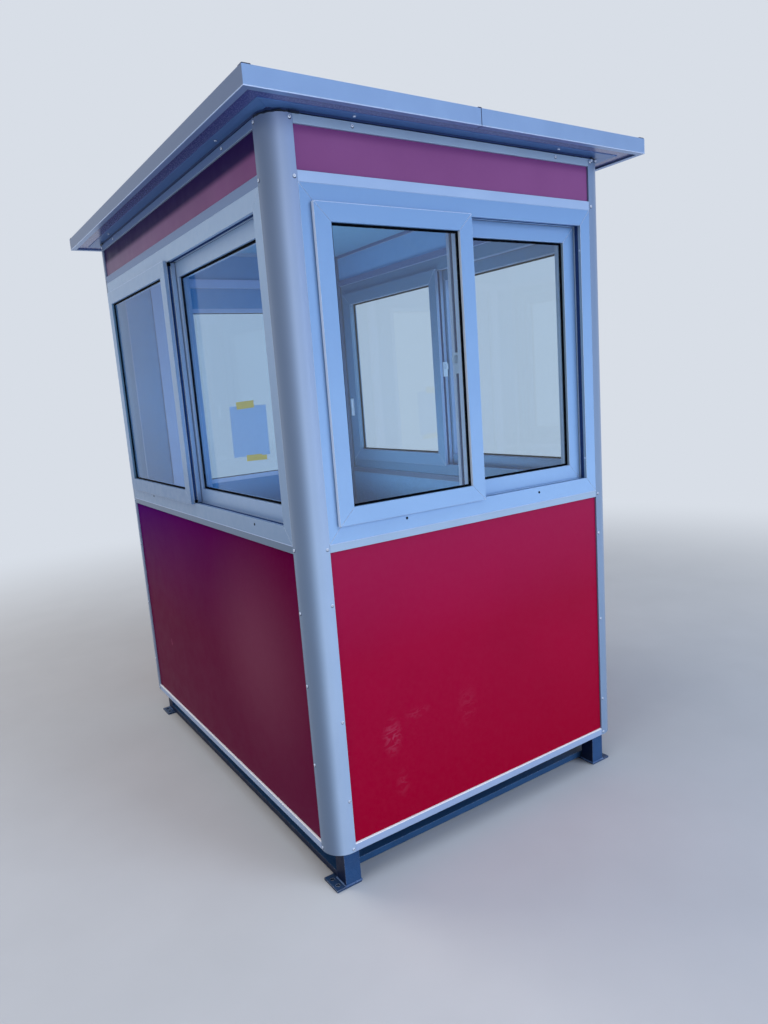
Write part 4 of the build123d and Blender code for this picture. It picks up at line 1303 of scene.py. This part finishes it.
pane_d = ((DOOR_THICKNESS - GLASS_THICKNESS) / 2, (DOOR_THICKNESS + GLASS_THICKNESS) / 2)
reach = GLAZING_BEAD + DOOR_GASKET
bm = bmesh.new()
for d0, d1 in ((pane_d[0] - GASKET_RISE, pane_d[0] + 0.2), (pane_d[1] - 0.2, pane_d[1] + GASKET_RISE)):
    add_ring(bm, pane_u, pane_z, all_round(strip_outline(reach, d0, d1, GLAZING_BEAD - 1)),
             all_round(reach), rounding=0.5, joint=0.0)
make_piece("door_gaskets", bm, on_wall("back"), ["glazing_rubber"], body="door")

# %% Hinge screws
HINGE_COUNT, HINGE_HEIGHT, HINGE_END, HINGE_LEAF = 3, 100.0, 180.0, 3.0
HINGE_SCREW_AT, HINGE_SCREWS_UP, HINGE_SCREW_HEAD = 20.0, (16, 50, 84), 4.2
hinge_u = door_u[0] - DOOR_GAP / 2
first_hinge = door_z[0] + HINGE_END
hinge_pitch = (door_z[1] - HINGE_END - HINGE_HEIGHT - first_hinge) / (HINGE_COUNT - 1)
for way, name, body in ((-1, "frame_hinge_screws", "booth"), (1, "door_hinge_screws", "door")):
    bm = bmesh.new()
    for index in range(HINGE_COUNT):
        for up in HINGE_SCREWS_UP:
            z = first_hinge + index * hinge_pitch + up
            centre = (hinge_u + way * HINGE_SCREW_AT, -HINGE_LEAF, z)
            add_screw(bm, centre, OUTWARD, HINGE_SCREW_HEAD, SMALL_RISE, turn=z)
    make_piece(name, bm, on_wall("back"), SCREW_FINISHES, body=body)

# %% Lock and plate screws
PLATE_THICKNESS, PLATE_SCREW_AT = 6.0, 70.0
HANDLE_U, HANDLE_Z = door_u[1] - 62.0, 1010.0
LOCK_Z, LOCK_RADIUS, LOCK_RISE = HANDLE_Z - 46.0, 8.5, 3.0
LOCK_TAIL, LOCK_TAIL_WIDTH = 19.0, 10.0
KEYHOLE_WIDTH, KEYHOLE_HEIGHT = 1.6, 9.0


def spread(middle, width):
    """The two ends of a width about its middle."""
    return middle - width / 2, middle + width / 2


bm = bmesh.new()
for way, d_face in ((-1, -PLATE_THICKNESS), (1, DOOR_THICKNESS + PLATE_THICKNESS)):
    for z in (HANDLE_Z - PLATE_SCREW_AT, HANDLE_Z + PLATE_SCREW_AT):
        add_screw(bm, (HANDLE_U, d_face, z), (0, way, 0), SMALL_HEAD, SMALL_RISE, turn=z)
    far = d_face + way * LOCK_RISE
    add_block(bm, spread(HANDLE_U, LOCK_TAIL_WIDTH), sorted((d_face, far)), (LOCK_Z - LOCK_TAIL, LOCK_Z), 1.0)
    middle = Matrix.Translation((HANDLE_U, (d_face + far) / 2, LOCK_Z))
    add_disc(bm, middle @ INTO_WALL, LOCK_RADIUS, LOCK_RISE, 32)
    add_block(bm, spread(HANDLE_U, KEYHOLE_WIDTH), sorted((far - way * 0.5, far + way * 0.2)),
              spread(LOCK_Z, KEYHOLE_HEIGHT), slot=DARK)
make_piece("door_lock", bm, on_wall("back"), ["stainless_steel", "screw_recess_and_shadow"], body="door")

# %% [markdown]
# ## Notice on the door
# A blank sheet of letter paper is taped inside the door's glass, a little askew.

# %% Paper and tape
PAPER, TOP_TAPE, LOW_TAPE = (216.0, 279.0), (104, 40), (122, 34)


def add_sheet(bm, centre, size, depth, thick, turn, curl=0.0, slot=0):
    """A thin sheet on the room side of the door glass, its lower corners curling into the room."""
    sheet = bmesh.new()
    bmesh.ops.create_grid(sheet, x_segments=12, y_segments=14, size=0.5)
    for vert in sheet.verts:
        corner = abs(vert.co.x * 2) ** 3 * max(0.0, -vert.co.y * 2) ** 3
        vert.co.z = curl * (corner + 0.12 * noise.noise(vert.co * 3.0))
    bmesh.ops.solidify(sheet, geom=sheet.faces[:], thickness=thick)
    for face in sheet.faces:
        face.material_index = slot
    flat = Matrix.LocRotScale(None, None, Vector((size[0], size[1], 1.0)))
    stand = Matrix(((1, 0, 0, 0), (0, 0, 1, 0), (0, 1, 0, 0), (0, 0, 0, 1)))
    place = Matrix.Translation((centre[0], depth, centre[1])) @ Matrix.Rotation(turn, 4, "Y") @ stand @ flat
    join(bm, sheet, place)


bm = bmesh.new()
add_sheet(bm, (687, 1441), PAPER, pane_d[1] + 0.6, 0.15, math.radians(-0.7), 4.0)
add_sheet(bm, (701, 1586), TOP_TAPE, pane_d[1] + 1.4, 0.12, math.radians(3.0), slot=1)
add_sheet(bm, (662, 1291), LOW_TAPE, pane_d[1] + 1.4, 0.12, math.radians(-1.0), slot=1)
make_piece("door_notice", bm, on_wall("back"), ["notice_paper", "yellow_tape"], body="door")

# %% [markdown]
# ## Studio
# A pale floor that fades into a pale background, even light all round and a few large soft lamps.

# %% Floor and background
FLOOR_RADIUS, FADE_START, FADE_END = 40.0, 2.2, 6.6
BACKDROP = "#d8dee7"
FLOOR, FLOOR_MOTTLE = "#c6ccd4", "#c2c8d0"
ROOM_LIGHT = 0.18
bm = bmesh.new()
bmesh.ops.create_circle(bm, cap_ends=True, segments=96, radius=FLOOR_RADIUS)
floor_mesh = bpy.data.meshes.new("studio_floor")
bm.to_mesh(floor_mesh)
bm.free()
studio_floor = bpy.data.objects.new("studio_floor", floor_mesh)
scene.collection.objects.link(studio_floor)
tree, shader, place = new_finish("studio_paper")
paper = coats(tree, FLOOR, (cloud(tree, place, 400), FLOOR_MOTTLE))
wire(tree, shader, {"Base Color": paper, "Roughness": 0.9, "Specular IOR Level": 0.1})
distance = add(tree, "ShaderNodeVectorMath", {0: place}, operation="LENGTH")
fade = add(tree, "ShaderNodeMapRange", {
    "Value": distance.outputs["Value"], "From Min": FADE_START, "From Max": FADE_END},
    interpolation_type="SMOOTHSTEP")
glow = add(tree, "ShaderNodeEmission", {"Color": BACKDROP, "Strength": 1.0})
mixed = add(tree, "ShaderNodeMixShader", {
    0: fade.outputs["Result"], 1: shader.outputs["BSDF"], 2: glow.outputs["Emission"]})
wire(tree, tree.nodes["output"], {"Surface": mixed.outputs["Shader"]})
floor_mesh.materials.append(finishes["studio_paper"])

scene.world = bpy.data.worlds.new("studio")
scene.world.use_nodes = True
tree = scene.world.node_tree
tree.nodes.clear()
# the object is lit by the room's light, and rays that only look at the background see its colour
rays = add(tree, "ShaderNodeLightPath").outputs
seen = rays["Is Camera Ray"]
for ray in ("Is Glossy Ray", "Is Transmission Ray"):
    seen = add(tree, "ShaderNodeMath", {0: seen, 1: rays[ray]}, operation="MAXIMUM").outputs["Value"]
room = add(tree, "ShaderNodeBackground", {"Color": "#f2f6ff", "Strength": ROOM_LIGHT})
shown = add(tree, "ShaderNodeBackground", {"Color": BACKDROP, "Strength": 1.0})
both = add(tree, "ShaderNodeMixShader", {
    0: seen, 1: room.outputs["Background"], 2: shown.outputs["Background"]})
add(tree, "ShaderNodeOutputWorld", {"Surface": both.outputs["Shader"]})
print("floor and background ready")


# %% Lamps
def soft_lamp(name, location, target, size, power, colour, glint=False):
    """A soft box. Glass doesn't show it, and without glint it leaves no hot spot on sheet metal either."""
    data = bpy.data.lights.new(name, "AREA")
    data.shape = "RECTANGLE"
    data.size, data.size_y = size
    data.energy = power
    data.color = tone(colour)[:3]
    lamp = bpy.data.objects.new(name, data)
    lamp.location = location
    aim = Vector(target) - Vector(location)
    lamp.rotation_euler = aim.to_track_quat("-Z", "Y").to_euler()
    lamp.visible_camera = False
    lamp.visible_transmission = False
    lamp.visible_glossy = glint
    scene.collection.objects.link(lamp)


MIDDLE = (0.0, -0.4, 1.2)
soft_lamp("key", (4.6, -8.9, 5.2), MIDDLE, (5.0, 4.0), 448, "#e6f0ff")
soft_lamp("ground glow", (1.8, -6.6, 0.5), (0.0, -0.9, 2.0), (4.0, 0.8), 95, "#eef2ff")
soft_lamp("strip", (1.9, -8.6, 2.2), MIDDLE, (0.6, 4.4), 40, "#f4f8ff", glint=True)
soft_lamp("fill", (-4.6, 6.2, 7.4), MIDDLE, (5.0, 4.0), 390, "#ffeeda")
soft_lamp("left card", (-7.5, -2.6, 3.4), MIDDLE, (4.0, 4.0), 130, "#fff2e4")
soft_lamp("overhead", (-0.9, -2.2, 8.6), (-0.5, -0.9, 0.6), (6.0, 6.0), 318, "#eaf2ff", glint=True)
soft_lamp("cabin bounce", (0.0, 0.0, 1.0), (0.0, 0.0, 2.4), (0.7, 1.2), 12, "#e6f2ff")
scene.view_settings.view_transform = "Standard"
print("lamps ready")
